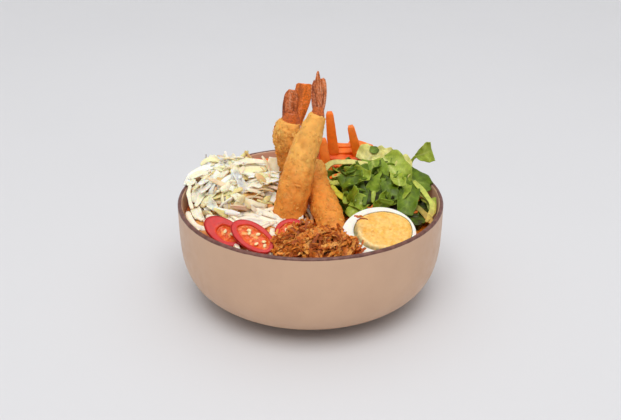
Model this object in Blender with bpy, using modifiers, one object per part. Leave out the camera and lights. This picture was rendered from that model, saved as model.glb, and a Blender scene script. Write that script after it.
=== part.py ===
"""A bowl of tom yum soup with battered prawns, half a boiled egg and heaped vegetables.

Blender 4.5, units in metres, +Z up. The origin is the centre of the bowl's foot, on the table.
-Y is the front of the bowl, where the egg, the chilli slices and the fried shallots lie.
"""
import math

import bmesh
import bpy
from mathutils import Matrix, Vector, noise

# ---------------------------------------------------------------- driving dimensions
RIM_RADIUS = 0.0875          # outer radius of the bowl at its lip
BOWL_HEIGHT = 0.0675         # lip above the table
FOOT_HEIGHT = 0.0025         # belly above the table, on its foot ring
FOOT_RADIUS = 0.040
FOOT_WIDTH = 0.004
FOOT_RECESS = 0.0012         # hollow inside the foot ring
WALL = 0.0042                # wall thickness below the lip
LIP = 0.0030                 # thickness of the rounded lip
FLOOR = 0.0052               # thickness of the bowl's floor
BELLY_DEPTH = BOWL_HEIGHT - FOOT_HEIGHT
BELLY_POWER_R = 4.75         # squareness of the belly's curve, along the radius
BELLY_POWER_Z = 4.59         # and along the height

BROTH_LEVEL = 0.0555         # surface of the soup above the table
GAP = 0.0003                 # clearance between touching pieces
CUT_GAP = 0.0004             # clearance that a cutter leaves round a piece

BOWL_STEPS = 48
SPACE_TOP = 0.130            # top of the room that the heaps may take

PRAWN_SIDES = 12
PRAWN_RINGS = 13
BATTER_RELIEF = 0.10         # lumps of the batter, as a share of the prawn's radius
BATTER_GRAIN = 0.006         # pitch of those lumps
BATTER_REACH = 0.009         # distance from the spine at which the lumps are read
HEAD_LENGTH = 0.003          # rounded head end, past the first ring
TAIL_ROOT = 0.0070           # length of the last shell ring, which the tail blades grow from

# ---------------------------------------------------------------- scene helpers


def clear_scene():
    for obj in list(bpy.data.objects):
        bpy.data.objects.remove(obj)


def new_collection(name):
    collection = bpy.data.collections.new(name)
    bpy.context.scene.collection.children.link(collection)
    return collection


def make_material(name, colour, roughness, metallic=0.0):
    material = bpy.data.materials.new(name)
    material.use_nodes = True
    shader = material.node_tree.nodes["Principled BSDF"]
    shader.inputs["Base Color"].default_value = (*colour, 1.0)
    shader.inputs["Roughness"].default_value = roughness
    shader.inputs["Metallic"].default_value = metallic
    material.diffuse_color = (*colour, 1.0)
    return material


def object_from_bmesh(name, bm, collection, material=None, smooth=True):
    mesh = bpy.data.meshes.new(name)
    bm.normal_update()
    bmesh.ops.recalc_face_normals(bm, faces=bm.faces)
    bm.to_mesh(mesh)
    bm.free()
    if smooth:
        mesh.shade_smooth()
        mesh.set_sharp_from_angle(angle=math.radians(40))
    obj = bpy.data.objects.new(name, mesh)
    collection.objects.link(obj)
    if material is not None:
        mesh.materials.append(material)
    return obj


def as_cutter(obj):
    obj.hide_render = True
    obj.display_type = "WIRE"
    return obj


def add_boolean(obj, cutter, operation="DIFFERENCE"):
    modifier = obj.modifiers.new(f"{operation.lower()}_{cutter.name}", "BOOLEAN")
    modifier.operation = operation
    modifier.object = cutter
    modifier.solver = "EXACT"


def spun_solid(name, profile, steps, collection, material=None):
    """Turns an open profile of (radius, height) points, outer side top to bottom, round the Z axis."""
    mesh = bpy.data.meshes.new(name)
    mesh.from_pydata([(r, 0.0, z) for r, z in profile], [(i, i + 1) for i in range(len(profile) - 1)], [])
    obj = bpy.data.objects.new(name, mesh)
    collection.objects.link(obj)
    screw = obj.modifiers.new("turn", "SCREW")
    screw.axis = "Z"
    screw.angle = math.tau
    screw.steps = steps
    screw.render_steps = steps
    screw.use_merge_vertices = True
    screw.merge_threshold = 0.00001
    screw.use_smooth_shade = True
    if material is not None:
        mesh.materials.append(material)
    return obj


# ---------------------------------------------------------------- bowl and soup


def belly_radius(z, inset=0.0, floor=0.0):
    """Radius of the belly's curve at height z; inset and floor make the parallel inner curve."""
    drop = (BOWL_HEIGHT - z) / (BELLY_DEPTH - floor)
    share = max(0.0, 1.0 - min(1.0, max(0.0, drop)) ** BELLY_POWER_Z)
    return (RIM_RADIUS - inset) * share ** (1.0 / BELLY_POWER_R)


def belly_curve(inset, floor, top, bottom_radius, count):
    """Points of the belly from height top down to where it is bottom_radius wide, closest in the bend."""
    widest, deepest = RIM_RADIUS - inset, BELLY_DEPTH - floor
    first = math.asin(((BOWL_HEIGHT - top) / deepest) ** (BELLY_POWER_Z / 2))
    last = math.acos((bottom_radius / widest) ** (BELLY_POWER_R / 2))
    points = []
    for i in range(count):
        turn = first + (last - first) * i / (count - 1)
        radius = widest * math.cos(turn) ** (2 / BELLY_POWER_R)
        points.append((radius, BOWL_HEIGHT - deepest * math.sin(turn) ** (2 / BELLY_POWER_Z)))
    return points


def inner_radius(z):
    return belly_radius(z, WALL, FLOOR)


def lip_arc(count):
    """Half circle over the lip, from its inner to its outer side."""
    middle = RIM_RADIUS - LIP / 2
    centre_z = BOWL_HEIGHT - LIP / 2
    return [
        (middle - math.cos(math.pi * i / count) * LIP / 2, centre_z + math.sin(math.pi * i / count) * LIP / 2)
        for i in range(count + 1)
    ]


def make_bowl(collection, material):
    lip = lip_arc(6)
    inner_wall = belly_curve(WALL, FLOOR, BOWL_HEIGHT - 0.008, 0.030, 8)
    outer_wall = belly_curve(0.0, 0.0, BOWL_HEIGHT - 0.012, FOOT_RADIUS + 0.003, 10)
    foot_in = FOOT_RADIUS - FOOT_WIDTH
    profile = [(0.0, FOOT_HEIGHT + FLOOR)]
    profile += list(reversed(inner_wall))
    profile += lip
    profile += outer_wall
    profile += [
        (FOOT_RADIUS, FOOT_HEIGHT),
        (FOOT_RADIUS - 0.0005, 0.0),
        (foot_in, 0.0),
        (foot_in - 0.0005, FOOT_RECESS),
        (0.0, FOOT_RECESS),
    ]
    return spun_solid("bowl", profile, BOWL_STEPS, collection, material)


def make_broth(collection, material):
    wall = belly_curve(WALL + GAP, FLOOR + GAP, BROTH_LEVEL, 0.030, 7)
    profile = [(0.0, BROTH_LEVEL)] + wall + [(0.0, wall[-1][1])]
    return spun_solid("broth", profile, BOWL_STEPS, collection, material)


def make_space_above_broth(collection):
    """Room inside the bowl that the heaps may fill: above the soup, clear of the wall."""
    heights = [SPACE_TOP, BOWL_HEIGHT + 0.002, BOWL_HEIGHT - 0.003, 0.061, BROTH_LEVEL + GAP]
    radii = [RIM_RADIUS, RIM_RADIUS - 0.001, RIM_RADIUS - LIP - 0.0015]
    profile = [(0.0, heights[0])]
    profile += list(zip(radii, heights[:3]))
    profile += [(inner_radius(z) - CUT_GAP, z) for z in heights[3:]]
    profile += [(0.0, heights[-1])]
    return as_cutter(spun_solid("space_above_broth", profile, BOWL_STEPS, collection))


# ---------------------------------------------------------------- prawns

# share of a tail blade's length, share of its greatest width
POINTED_BLADE = ((0.0, 0.55), (0.25, 0.85), (0.5, 1.0), (0.75, 0.8), (0.92, 0.4), (1.0, 0.12))
FAN_BLADE = ((0.0, 0.5), (0.3, 0.65), (0.6, 0.85), (0.85, 1.0), (1.0, 0.75))


def add_loft(bm, stations, sides):
    """A closed tube through stations of (centre, half width across the view from the front, half depth)."""
    centres = [Vector(station[0]) for station in stations]
    rings = []
    for i, (centre, (_, half_width, half_depth)) in enumerate(zip(centres, stations)):
        along = (centres[min(i + 1, len(centres) - 1)] - centres[max(i - 1, 0)]).normalized()
        side = along.cross(Vector((0, 1, 0))).normalized()
        face = side.cross(along)
        ring = []
        for k in range(sides):
            turn = math.tau * k / sides
            out = side * half_width * math.cos(turn) + face * half_depth * math.sin(turn)
            ring.append(bm.verts.new(centre + out))
        rings.append(ring)
    for lower, upper in zip(rings, rings[1:]):
        for k in range(sides):
            n = (k + 1) % sides
            bm.faces.new((lower[k], lower[n], upper[n], upper[k]))
    bm.faces.new(reversed(rings[0]))
    bm.faces.new(rings[-1])


class Prawn:
    """A battered prawn: a bent, tapering body along waypoints, and a fan of tail blades.

    A blade is (sideways shift of its base, tip, half width, outline).
    """

    def __init__(self, name, spine, radii, blades):
        self.name = name
        self.spine = [Vector(p) for p in spine]
        self.radii = radii
        self.blades = blades

    def point(self, t):
        """Catmull-Rom point on the spine, t from 0 at the head end to 1 at the tail."""
        last = len(self.spine) - 1
        i = min(int(t * last), last - 1)
        u = t * last - i
        p = [self.spine[max(0, min(last, i + k))] for k in (-1, 0, 1, 2)]
        return 0.5 * (
            2 * p[1] + (p[2] - p[0]) * u + (2 * p[0] - 5 * p[1] + 4 * p[2] - p[3]) * u**2
            + (3 * p[1] - p[0] - 3 * p[2] + p[3]) * u**3
        )

    def radius(self, t):
        last = len(self.radii) - 1
        i = min(int(t * last), last - 1)
        u = t * last - i
        return self.radii[i] * (1 - u) + self.radii[i + 1] * u

    def tail_direction(self):
        return (self.point(1.0) - self.point(0.97)).normalized()


def make_prawn_body(prawn, collection, material=None, grow=0.0):
    """Rings of lumpy batter round the spine, rounded at the head end and flat where the tail comes out."""
    bm = bmesh.new()
    rings = []
    for i in range(PRAWN_RINGS):
        t = i / (PRAWN_RINGS - 1)
        centre = prawn.point(t)
        along = (prawn.point(min(1.0, t + 0.02)) - prawn.point(max(0.0, t - 0.02))).normalized()
        centre = centre + along * (grow if i == PRAWN_RINGS - 1 else 0.0)
        side = along.cross(Vector((0, 1, 0))).normalized()
        up = side.cross(along)
        ring = []
        for k in range(PRAWN_SIDES):
            turn = math.tau * k / PRAWN_SIDES
            out = side * math.cos(turn) + up * math.sin(turn)
            lump = noise.noise((prawn.point(t) + out * BATTER_REACH) / BATTER_GRAIN) * BATTER_RELIEF
            ring.append(bm.verts.new(centre + out * (prawn.radius(t) * (1 + lump) + grow)))
        rings.append(ring)
    for lower, upper in zip(rings, rings[1:]):
        for k in range(PRAWN_SIDES):
            n = (k + 1) % PRAWN_SIDES
            bm.faces.new((lower[k], lower[n], upper[n], upper[k]))
    head_direction = (prawn.point(0.0) - prawn.point(0.03)).normalized()
    head = bm.verts.new(prawn.point(0.0) + head_direction * (HEAD_LENGTH + grow))
    for k in range(PRAWN_SIDES):
        bm.faces.new((head, rings[0][(k + 1) % PRAWN_SIDES], rings[0][k]))
    bm.faces.new(rings[-1])
    suffix = "_body" if grow == 0 else "_clearance"
    return object_from_bmesh(prawn.name + suffix, bm, collection, material)


def make_prawn_tail(prawn, collection, helpers, material):
    """The last shell ring, just clear of the batter's end, joined with the blades that grow from it."""
    along = prawn.tail_direction()
    start = prawn.point(1.0) + along * GAP
    radius = prawn.radii[-1]
    bm = bmesh.new()
    add_loft(bm, [
        (start, radius * 0.90, radius * 0.80),
        (start + along * TAIL_ROOT * 0.5, radius * 0.96, radius * 0.76),
        (start + along * TAIL_ROOT, radius * 0.80, radius * 0.55),
    ], 12)
    tail = object_from_bmesh(prawn.name + "_tail", bm, collection, material)
    for i, (shift, tip, half_width, outline) in enumerate(prawn.blades):
        tip = Vector(tip)
        base = start + along * TAIL_ROOT * 0.35 + Vector((shift, 0.0, 0.0))
        bm = bmesh.new()
        add_loft(bm, [
            (base.lerp(tip, share), half_width * width, (0.0020 + 0.0012 * i) * (1.1 - 0.8 * share))
            for share, width in outline
        ], 8)
        blade = as_cutter(object_from_bmesh(f"{prawn.name}_blade_{i + 1}", bm, helpers, material))
        add_boolean(tail, blade, "UNION")
    return tail


# ---------------------------------------------------------------- egg, chilli, carrot


def leaning_frame(centre, lean, aside, roll):
    """Frame of a cut face: lean is its normal's height above level, aside its turn to the right of the front,
    roll the turn of the long way in the face. All in degrees."""
    lean, aside, roll = (math.radians(angle) for angle in (lean, aside, roll))
    normal = Vector((math.cos(lean) * math.sin(aside), -math.cos(lean) * math.cos(aside), math.sin(lean)))
    level = Vector((0, 0, 1)).cross(normal).normalized()
    long_way = level * math.cos(roll) + normal.cross(level) * math.sin(roll)
    axes = Matrix((long_way, normal.cross(long_way), normal)).transposed().to_4x4()
    return Matrix.Translation(centre) @ axes


EGG_PLACE = ((0.0423, -0.0460, 0.0639), 65, 21, 6)    # centre of the cut face, lean, aside, roll
EGG_RADII = (0.0250, 0.0196, 0.0180)                  # half length, half width, depth
EGG_BLUNTNESS = 0.07                                  # how much wider one end is than the other
EGG_SEGMENTS = 22
YOLK_SHIFT = 0.0019                                   # yolk's centre towards the blunt end
YOLK_RADII = (0.0183, 0.0158, 0.0120)
YOLK_SEGMENTS = 18
SOCKET_TOP = 0.002                                    # how far the yolk's cutter reaches above the cut face


def half_ball(name, radii, shift, bluntness, top, segments, place, collection, material=None):
    """The lower half of an egg-shaped ball: cut level at height top, then set in its place."""
    bm = bmesh.new()
    bmesh.ops.create_uvsphere(bm, u_segments=segments, v_segments=segments // 2, radius=1.0)
    for vert in bm.verts:
        x, y, z = vert.co
        blunt = 1.0 + bluntness * x
        vert.co = Vector((shift + x * radii[0], y * blunt * radii[1], z * blunt * radii[2]))
    geometry = bm.verts[:] + bm.edges[:] + bm.faces[:]
    cut = bmesh.ops.bisect_plane(
        bm, geom=geometry, plane_co=(0, 0, top), plane_no=(0, 0, 1), clear_outer=True, dist=1e-7
    )
    bmesh.ops.contextual_create(bm, geom=[g for g in cut["geom_cut"] if isinstance(g, bmesh.types.BMEdge)])
    obj = object_from_bmesh(name, bm, collection, material)
    obj.matrix_world = place
    return obj


def grown(radii, grow):
    return [radius + grow for radius in radii]


def make_egg(collection, helpers, white_material, yolk_material):
    """Half an egg lying on its round back against the wall, its cut face leaning to the front."""
    place = leaning_frame(*EGG_PLACE)
    white = half_ball(
        "egg_white", EGG_RADII, 0.0, EGG_BLUNTNESS, 0.0, EGG_SEGMENTS, place, collection, white_material
    )
    socket = half_ball(
        "yolk_socket", grown(YOLK_RADII, GAP), YOLK_SHIFT, 0.0, SOCKET_TOP, YOLK_SEGMENTS, place, helpers
    )
    add_boolean(white, as_cutter(socket))
    half_ball("egg_yolk", YOLK_RADII, YOLK_SHIFT, 0.0, 0.0, YOLK_SEGMENTS, place, collection, yolk_material)
    return as_cutter(half_ball(
        "egg_clearance", grown(EGG_RADII, CUT_GAP), 0.0, EGG_BLUNTNESS, CUT_GAP, EGG_SEGMENTS, place, helpers
    ))


# name, centre, (lean, aside, roll), half length, half width, thickness, shift of the seed core along the length
CHILLI_SLICES = [
    ("chilli_slice_1", (-0.0530, -0.0495, 0.0655), (50, 0, -35), 0.0142, 0.0080, 0.0040, 0.0030),
    ("chilli_slice_2", (-0.0350, -0.0570, 0.0660), (50, 0, -35), 0.0152, 0.0084, 0.0036, 0.0010),
    ("chilli_slice_3", (-0.0125, -0.0430, 0.0632), (55, 0, 12), 0.0096, 0.0078, 0.0034, 0.0),
]
CHILLI_FLESH = 0.0030
CORE_THICKNESS = 0.7         # of the slice's thickness


def oval_disc(name, radius_x, radius_y, thickness, place, collection, material=None, offset=0.0):
    bm = bmesh.new()
    bmesh.ops.create_cone(bm, cap_ends=True, segments=24, radius1=1.0, radius2=1.0, depth=thickness)
    for vert in bm.verts:
        vert.co = Vector((vert.co.x * radius_x + offset, vert.co.y * radius_y, vert.co.z))
    obj = object_from_bmesh(name, bm, collection, material)
    obj.matrix_world = place
    return obj


def make_chilli(row, collection, helpers, skin_material, core_material):
    """A slanting cut through a chilli: a ring of flesh round a core of pulp and seeds."""
    name, centre, angles, half_length, half_width, thickness, offset = row
    place = leaning_frame(centre, *angles)
    core_length = half_length - CHILLI_FLESH - abs(offset)
    core_width = half_width - CHILLI_FLESH
    ring = oval_disc(name + "_ring", half_length, half_width, thickness, place, collection, skin_material)
    hole = oval_disc(name + "_hole", core_length, core_width, thickness * 3, place, helpers, offset=offset)
    add_boolean(ring, as_cutter(hole))
    oval_disc(
        name + "_core", core_length - GAP, core_width - GAP, thickness * CORE_THICKNESS, place, collection,
        core_material, offset
    )
    grown_radii = (half_length + CUT_GAP, half_width + CUT_GAP)
    return as_cutter(oval_disc(name + "_clearance", *grown_radii, thickness + 2 * CUT_GAP, place, helpers))


# name, lower end, upper end, width, depth
CARROT_STICKS = [
    ("carrot_stick_1", (0.0175, 0.0440, 0.0790), (0.0126, 0.0420, 0.1085), 0.0062, 0.0046),
    ("carrot_stick_2", (0.0130, 0.0285, 0.0700), (0.0082, 0.0360, 0.0915), 0.0060, 0.0044),
    ("carrot_stick_3", (0.0360, 0.0390, 0.0745), (0.0274, 0.0420, 0.1000), 0.0054, 0.0046),
]
STICK_TAPER = 0.55           # width of a stick's top, as a share of its foot's


def make_stick(row, collection, material=None, grow=0.0):
    """A cut carrot stick: a box between its ends that narrows to a slanting top."""
    name, low, high, width, depth = row
    low, high = Vector(low), Vector(high)
    along = (high - low).normalized()
    side = along.cross(Vector((0, 1, 0))).normalized()
    face = side.cross(along)
    bm = bmesh.new()
    bmesh.ops.create_cube(bm, size=1.0)
    for vert in bm.verts:
        top = vert.co.z > 0
        end = high + along * (grow + vert.co.x * width) if top else low - along * grow
        narrow = STICK_TAPER if top else 1.0
        vert.co = end + side * vert.co.x * (width * narrow + 2 * grow) + face * vert.co.y * (depth + 2 * grow)
    suffix = "" if grow == 0 else "_clearance"
    return object_from_bmesh(name + suffix, bm, collection, material, smooth=False)


# ---------------------------------------------------------------- heaps


def add_lump(bm, centre, radii, detail, roughness, grain, grow):
    """An icosphere stretched to an uneven lump; roughness is the depth of its hollows, grain their pitch."""
    made = bmesh.ops.create_icosphere(bm, subdivisions=detail, radius=1.0)["verts"]
    centre = Vector(centre)
    for vert in made:
        unit = vert.co.normalized()
        smooth = Vector((unit.x * radii[0], unit.y * radii[1], unit.z * radii[2])) + centre
        bump = noise.noise(smooth / grain) * roughness
        vert.co = smooth + unit * (bump + grow)


def make_heap(name, lumps, collection, material=None, grow=0.0, helpers=None):
    """One heap from one or more lumps, each (centre, radii, detail, roughness, grain)."""
    pieces = []
    for i, lump in enumerate(lumps):
        bm = bmesh.new()
        add_lump(bm, *lump, grow)
        suffix = "" if grow == 0 else "_clearance"
        piece_name = name + suffix if i == 0 else f"{name}{suffix}_lump_{i}"
        pieces.append(object_from_bmesh(piece_name, bm, collection if i == 0 else helpers, material))
    for piece in pieces[1:]:
        add_boolean(pieces[0], as_cutter(piece), "UNION")
    return pieces[0]


HEAPS = {
    "cabbage_heap": [
        ((-0.0500, 0.0100, 0.0570), (0.0310, 0.0330, 0.0230), 3, 0.0090, 0.012),
        ((-0.0520, 0.0360, 0.0610), (0.0240, 0.0160, 0.0170), 3, 0.0050, 0.010),
    ],
    "carrot_heap_back": [((0.0260, 0.0560, 0.0600), (0.0240, 0.0200, 0.0205), 3, 0.0050, 0.008)],
    "carrot_heap_left": [((-0.0360, 0.0640, 0.0570), (0.0210, 0.0100, 0.0088), 3, 0.0030, 0.008)],
    "lettuce_heap": [
        ((0.0400, 0.0120, 0.0590), (0.0300, 0.0330, 0.0260), 3, 0.0090, 0.013),
        ((0.0660, -0.0080, 0.0560), (0.0150, 0.0240, 0.0110), 3, 0.0040, 0.010),
    ],
    "shallot_heap": [((0.0015, -0.0610, 0.0585), (0.0265, 0.0205, 0.0130), 3, 0.0050, 0.007)],
    "noodle_nest": [((-0.0400, -0.0240, 0.0560), (0.0420, 0.0480, 0.0085), 3, 0.0030, 0.010)],
}


SPRIG_STEM_FOOT = Vector((0.0690, 0.0330, 0.0755))
SPRIG_STEM_TOP = Vector((0.0730, 0.0335, 0.0828))
SPRIG_BLADE_END = Vector((0.0835, 0.0345, 0.0862))
SPRIG_THICKNESS = 0.0009
SPRIG_COLUMNS = 8
SPRIG_WAVE = 0.16            # depth of the frills, as a share of the half width
SPRIG_CUP = 0.30             # how far the edges curl to the front, as a share of the half width


def make_sprig(collection, material):
    """The frilled leaf on a stem that stands out of the lettuce over the bowl's right side."""
    blade_axis = SPRIG_BLADE_END - SPRIG_STEM_TOP
    # distance from the foot, half width
    stem_rows = [(0.0, 0.0010), (0.5, 0.0009), (1.0, 0.0012)]
    blade_rows = [(0.2, 0.0032), (0.45, 0.0052), (0.7, 0.0062), (0.9, 0.0068), (1.0, 0.0064)]
    rows = [(SPRIG_STEM_FOOT.lerp(SPRIG_STEM_TOP, share), half) for share, half in stem_rows]
    rows += [(SPRIG_STEM_TOP + blade_axis * share, half) for share, half in blade_rows]
    bm = bmesh.new()
    grid = []
    for i, (centre, half) in enumerate(rows):
        before, after = rows[max(i - 1, 0)][0], rows[min(i + 1, len(rows) - 1)][0]
        along = (after - before).normalized()
        side = Vector((0, 1, 0)).cross(along).normalized()
        row = []
        for k in range(SPRIG_COLUMNS + 1):
            across = 2.0 * k / SPRIG_COLUMNS - 1.0
            wave = SPRIG_WAVE * half * math.sin(k * 2.6 + i)
            cup = SPRIG_CUP * half * across**2
            row.append(bm.verts.new(centre + side * half * across - Vector((0, 1, 0)) * (cup + wave)))
        grid.append(row)
    for lower, upper in zip(grid, grid[1:]):
        for k in range(SPRIG_COLUMNS):
            bm.faces.new((lower[k], lower[k + 1], upper[k + 1], upper[k]))
    obj = object_from_bmesh("lettuce_sprig", bm, collection, material)
    solidify = obj.modifiers.new("leaf_thickness", "SOLIDIFY")
    solidify.thickness = SPRIG_THICKNESS
    solidify.offset = 0.0
    return obj


PRAWNS = [
    Prawn(
        "prawn_1",
        [(-0.0175, -0.0225, 0.0440), (-0.0118, -0.0110, 0.0715), (-0.0058, -0.0022, 0.0935),
         (0.0000, 0.0030, 0.1095), (0.0047, 0.0060, 0.1214)],
        [0.0085, 0.0106, 0.0094, 0.0080, 0.0050],
        [(0.0005, (0.0046, 0.0118, 0.1510), 0.0036, POINTED_BLADE),
         (-0.0018, (0.0016, 0.0100, 0.1450), 0.0030, POINTED_BLADE),
         (0.0018, (0.0086, 0.0112, 0.1470), 0.0033, POINTED_BLADE)],
    ),
    Prawn(
        "prawn_2",
        [(-0.0100, 0.0320, 0.0440), (-0.0118, 0.0285, 0.0690), (-0.0138, 0.0262, 0.0890),
         (-0.0156, 0.0250, 0.1025), (-0.0137, 0.0250, 0.1105)],
        [0.0080, 0.0096, 0.0097, 0.0094, 0.0066],
        [(-0.0022, (-0.0125, 0.0255, 0.1318), 0.0046, POINTED_BLADE),
         (0.0016, (-0.0045, 0.0278, 0.1368), 0.0056, FAN_BLADE)],
    ),
    Prawn(
        "prawn_3",
        [(0.0150, -0.0380, 0.0520), (0.0128, -0.0245, 0.0605), (0.0088, -0.0085, 0.0658),
         (0.0040, 0.0085, 0.0715), (0.0015, 0.0185, 0.0840)],
        [0.0080, 0.0090, 0.0090, 0.0085, 0.0060],
        [(-0.0012, (-0.0012, 0.0215, 0.0975), 0.0034, POINTED_BLADE),
         (0.0012, (0.0030, 0.0222, 0.0960), 0.0030, POINTED_BLADE)],
    ),
]


def main():
    clear_scene()
    parts = new_collection("tom_yum_soup")
    helpers = new_collection("cutters")

    glaze = make_material("bowl_glaze", (0.60, 0.42, 0.32), 0.45)
    soup = make_material("broth", (0.72, 0.27, 0.06), 0.15)
    batter = make_material("batter", (0.75, 0.37, 0.10), 0.7)
    shell = make_material("prawn_tail", (0.48, 0.14, 0.06), 0.4)
    white = make_material("egg_white", (0.85, 0.85, 0.80), 0.35)
    yolk = make_material("egg_yolk", (0.93, 0.62, 0.16), 0.8)
    chilli_red = make_material("chilli_skin", (0.62, 0.02, 0.02), 0.25)
    chilli_core = make_material("chilli_core", (0.85, 0.33, 0.10), 0.4)
    carrot = make_material("carrot", (0.85, 0.20, 0.02), 0.5)
    cabbage = make_material("cabbage", (0.80, 0.78, 0.55), 0.5)
    lettuce = make_material("lettuce", (0.16, 0.33, 0.04), 0.5)
    shallot = make_material("fried_shallot", (0.42, 0.19, 0.06), 0.7)
    noodle = make_material("noodle", (0.85, 0.75, 0.58), 0.4)

    make_bowl(parts, glaze)
    broth = make_broth(parts, soup)
    space = make_space_above_broth(helpers)

    prawn_cutters = []
    for prawn in PRAWNS:
        make_prawn_body(prawn, parts, batter)
        make_prawn_tail(prawn, parts, helpers, shell)
        prawn_cutters.append(as_cutter(make_prawn_body(prawn, helpers, grow=CUT_GAP)))
    egg_cutter = make_egg(parts, helpers, white, yolk)
    chilli_cutters = [make_chilli(row, parts, helpers, chilli_red, chilli_core) for row in CHILLI_SLICES]
    stick_cutters = []
    for row in CARROT_STICKS:
        make_stick(row, parts, carrot)
        stick_cutters.append(as_cutter(make_stick(row, helpers, grow=CUT_GAP)))
    make_sprig(parts, lettuce)

    heap_materials = {
        "cabbage_heap": cabbage, "carrot_heap_back": carrot, "carrot_heap_left": carrot,
        "lettuce_heap": lettuce, "shallot_heap": shallot, "noodle_nest": noodle,
    }
    heaps, heap_cutters = {}, {}
    for name, lumps in HEAPS.items():
        heaps[name] = make_heap(name, lumps, parts, heap_materials[name], helpers=helpers)
        heap_cutters[name] = as_cutter(make_heap(name, lumps, helpers, grow=CUT_GAP, helpers=helpers))
        add_boolean(heaps[name], space, "INTERSECT")

    cuts = {
        "carrot_heap_back": prawn_cutters[1:] + stick_cutters,
        "carrot_heap_left": [prawn_cutters[1]],
        "lettuce_heap": prawn_cutters + [egg_cutter] + stick_cutters + [heap_cutters["carrot_heap_back"]],
        "shallot_heap": [prawn_cutters[0], prawn_cutters[2], egg_cutter] + chilli_cutters[1:],
        "cabbage_heap": prawn_cutters + chilli_cutters[:2] + [heap_cutters["carrot_heap_left"]],
        "noodle_nest": prawn_cutters + chilli_cutters + [
            egg_cutter, heap_cutters["shallot_heap"], heap_cutters["cabbage_heap"]],
    }
    for name, cutters in cuts.items():
        for cutter in cutters:
            add_boolean(heaps[name], cutter)
    for cutter in prawn_cutters + [egg_cutter]:
        add_boolean(broth, cutter)


main()
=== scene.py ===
"""Looks of a bowl of tom yum soup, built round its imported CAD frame.

Metres, +Z up, -Y is the front. Each piece stands for the CAD node whose place it takes.
"""

import math
import random

import bmesh
import bpy
import numpy as np
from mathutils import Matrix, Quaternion, Vector, noise
from mathutils.bvhtree import BVHTree


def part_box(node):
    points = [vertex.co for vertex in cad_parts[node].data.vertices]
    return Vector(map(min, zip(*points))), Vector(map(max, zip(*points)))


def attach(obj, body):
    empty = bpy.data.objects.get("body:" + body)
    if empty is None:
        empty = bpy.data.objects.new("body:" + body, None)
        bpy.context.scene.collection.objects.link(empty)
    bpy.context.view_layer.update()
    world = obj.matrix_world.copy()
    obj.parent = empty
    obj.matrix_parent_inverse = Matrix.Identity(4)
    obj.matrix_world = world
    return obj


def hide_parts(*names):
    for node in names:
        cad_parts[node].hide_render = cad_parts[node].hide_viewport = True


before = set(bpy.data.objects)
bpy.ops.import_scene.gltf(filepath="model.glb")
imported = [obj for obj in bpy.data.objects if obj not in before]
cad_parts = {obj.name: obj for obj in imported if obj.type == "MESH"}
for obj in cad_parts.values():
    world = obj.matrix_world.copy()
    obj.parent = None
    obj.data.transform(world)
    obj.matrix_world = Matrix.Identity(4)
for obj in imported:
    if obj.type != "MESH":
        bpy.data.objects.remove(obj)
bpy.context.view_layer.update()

SEED = 11
BOXES = {name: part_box(name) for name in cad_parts}

# ---------------------------------------------------------------- the bowl's own sizes, as in the CAD model
RIM_RADIUS = BOXES["bowl"][1].x
BOWL_HEIGHT = BOXES["bowl"][1].z
BROTH_LEVEL = BOXES["broth"][1].z
FOOT_HEIGHT = 0.0025
FOOT_RADIUS = 0.040
FOOT_WIDTH = 0.004
FOOT_RECESS = 0.0012
WALL = 0.0042
LIP = 0.0030
FLOOR = 0.0052
BELLY_DEPTH = BOWL_HEIGHT - FOOT_HEIGHT
BELLY_POWER_R = 4.75
BELLY_POWER_Z = 4.59

# ---------------------------------------------------------------- numbers, colours, places


def seeded(name):
    """A random generator of its own for each piece, the same in each run."""
    return random.Random(f"{name} {SEED}")


def srgb(red, green, blue):
    """Linear colour of a 0-255 screen colour."""
    share = np.array([red, green, blue]) / 255
    return np.where(share <= 0.04045, share / 12.92, ((share + 0.055) / 1.055) ** 2.4)


def mix(first, second, share):
    """Colours from first to second; share is one number or an array of them."""
    share = np.asarray(share, float)[..., None]
    return np.asarray(first) * (1 - share) + np.asarray(second) * share


def ramp(value, low, high):
    """0 below low, 1 above high, smooth between; high may be the smaller one."""
    share = np.clip((np.asarray(value, float) - low) / (high - low), 0, 1)
    return share * share * (3 - 2 * share)


def at(node, x, y, z):
    """The point at these shares of a CAD node's box."""
    low, high = BOXES[node]
    return Vector([low[i] + (high[i] - low[i]) * share for i, share in enumerate((x, y, z))])


def unit(vectors):
    vectors = np.asarray(vectors, float)
    return vectors / np.maximum(np.linalg.norm(vectors, axis=-1, keepdims=True), 1e-12)


def turned_about(vector, axis, angle):
    """A copy of vector turned about axis."""
    return Quaternion(axis, angle) @ Vector(vector)


def inner_radius(z):
    """Inner radius of the bowl at height z."""
    drop = np.clip((BOWL_HEIGHT - np.asarray(z, float)) / (BELLY_DEPTH - FLOOR), 0, 1)
    return (RIM_RADIUS - WALL) * (1 - drop**BELLY_POWER_Z) ** (1 / BELLY_POWER_R)


def inside_bowl(points, room=0.0003):
    """Points moved inwards where they would pass through the bowl's wall or beyond its rim."""
    over_rim = points[:, 2] > BOWL_HEIGHT + room
    limit = np.where(over_rim, RIM_RADIUS - room, inner_radius(points[:, 2]) - room)
    radius = np.maximum(np.hypot(points[:, 0], points[:, 1]), 1e-9)
    points = points.copy()
    points[:, :2] *= np.minimum(1, limit / radius)[:, None]
    return points


def catmull_rom(waypoints, count):
    """count points evenly spread in parameter along a smooth curve through the waypoints."""
    way = np.array([tuple(p) for p in waypoints], float)
    way = np.concatenate([way[:1] * 2 - way[1:2], way, way[-1:] * 2 - way[-2:-1]])
    share = np.linspace(0, len(way) - 3 - 1e-9, count)
    i = share.astype(int)
    u = (share - i)[:, None]
    a, b, c, d = way[i], way[i + 1], way[i + 2], way[i + 3]
    return 0.5 * (2 * b + (c - a) * u + (2 * a - 5 * b + 4 * c - d) * u**2 + (3 * b - a - 3 * c + d) * u**3)


# ---------------------------------------------------------------- meshes


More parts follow.
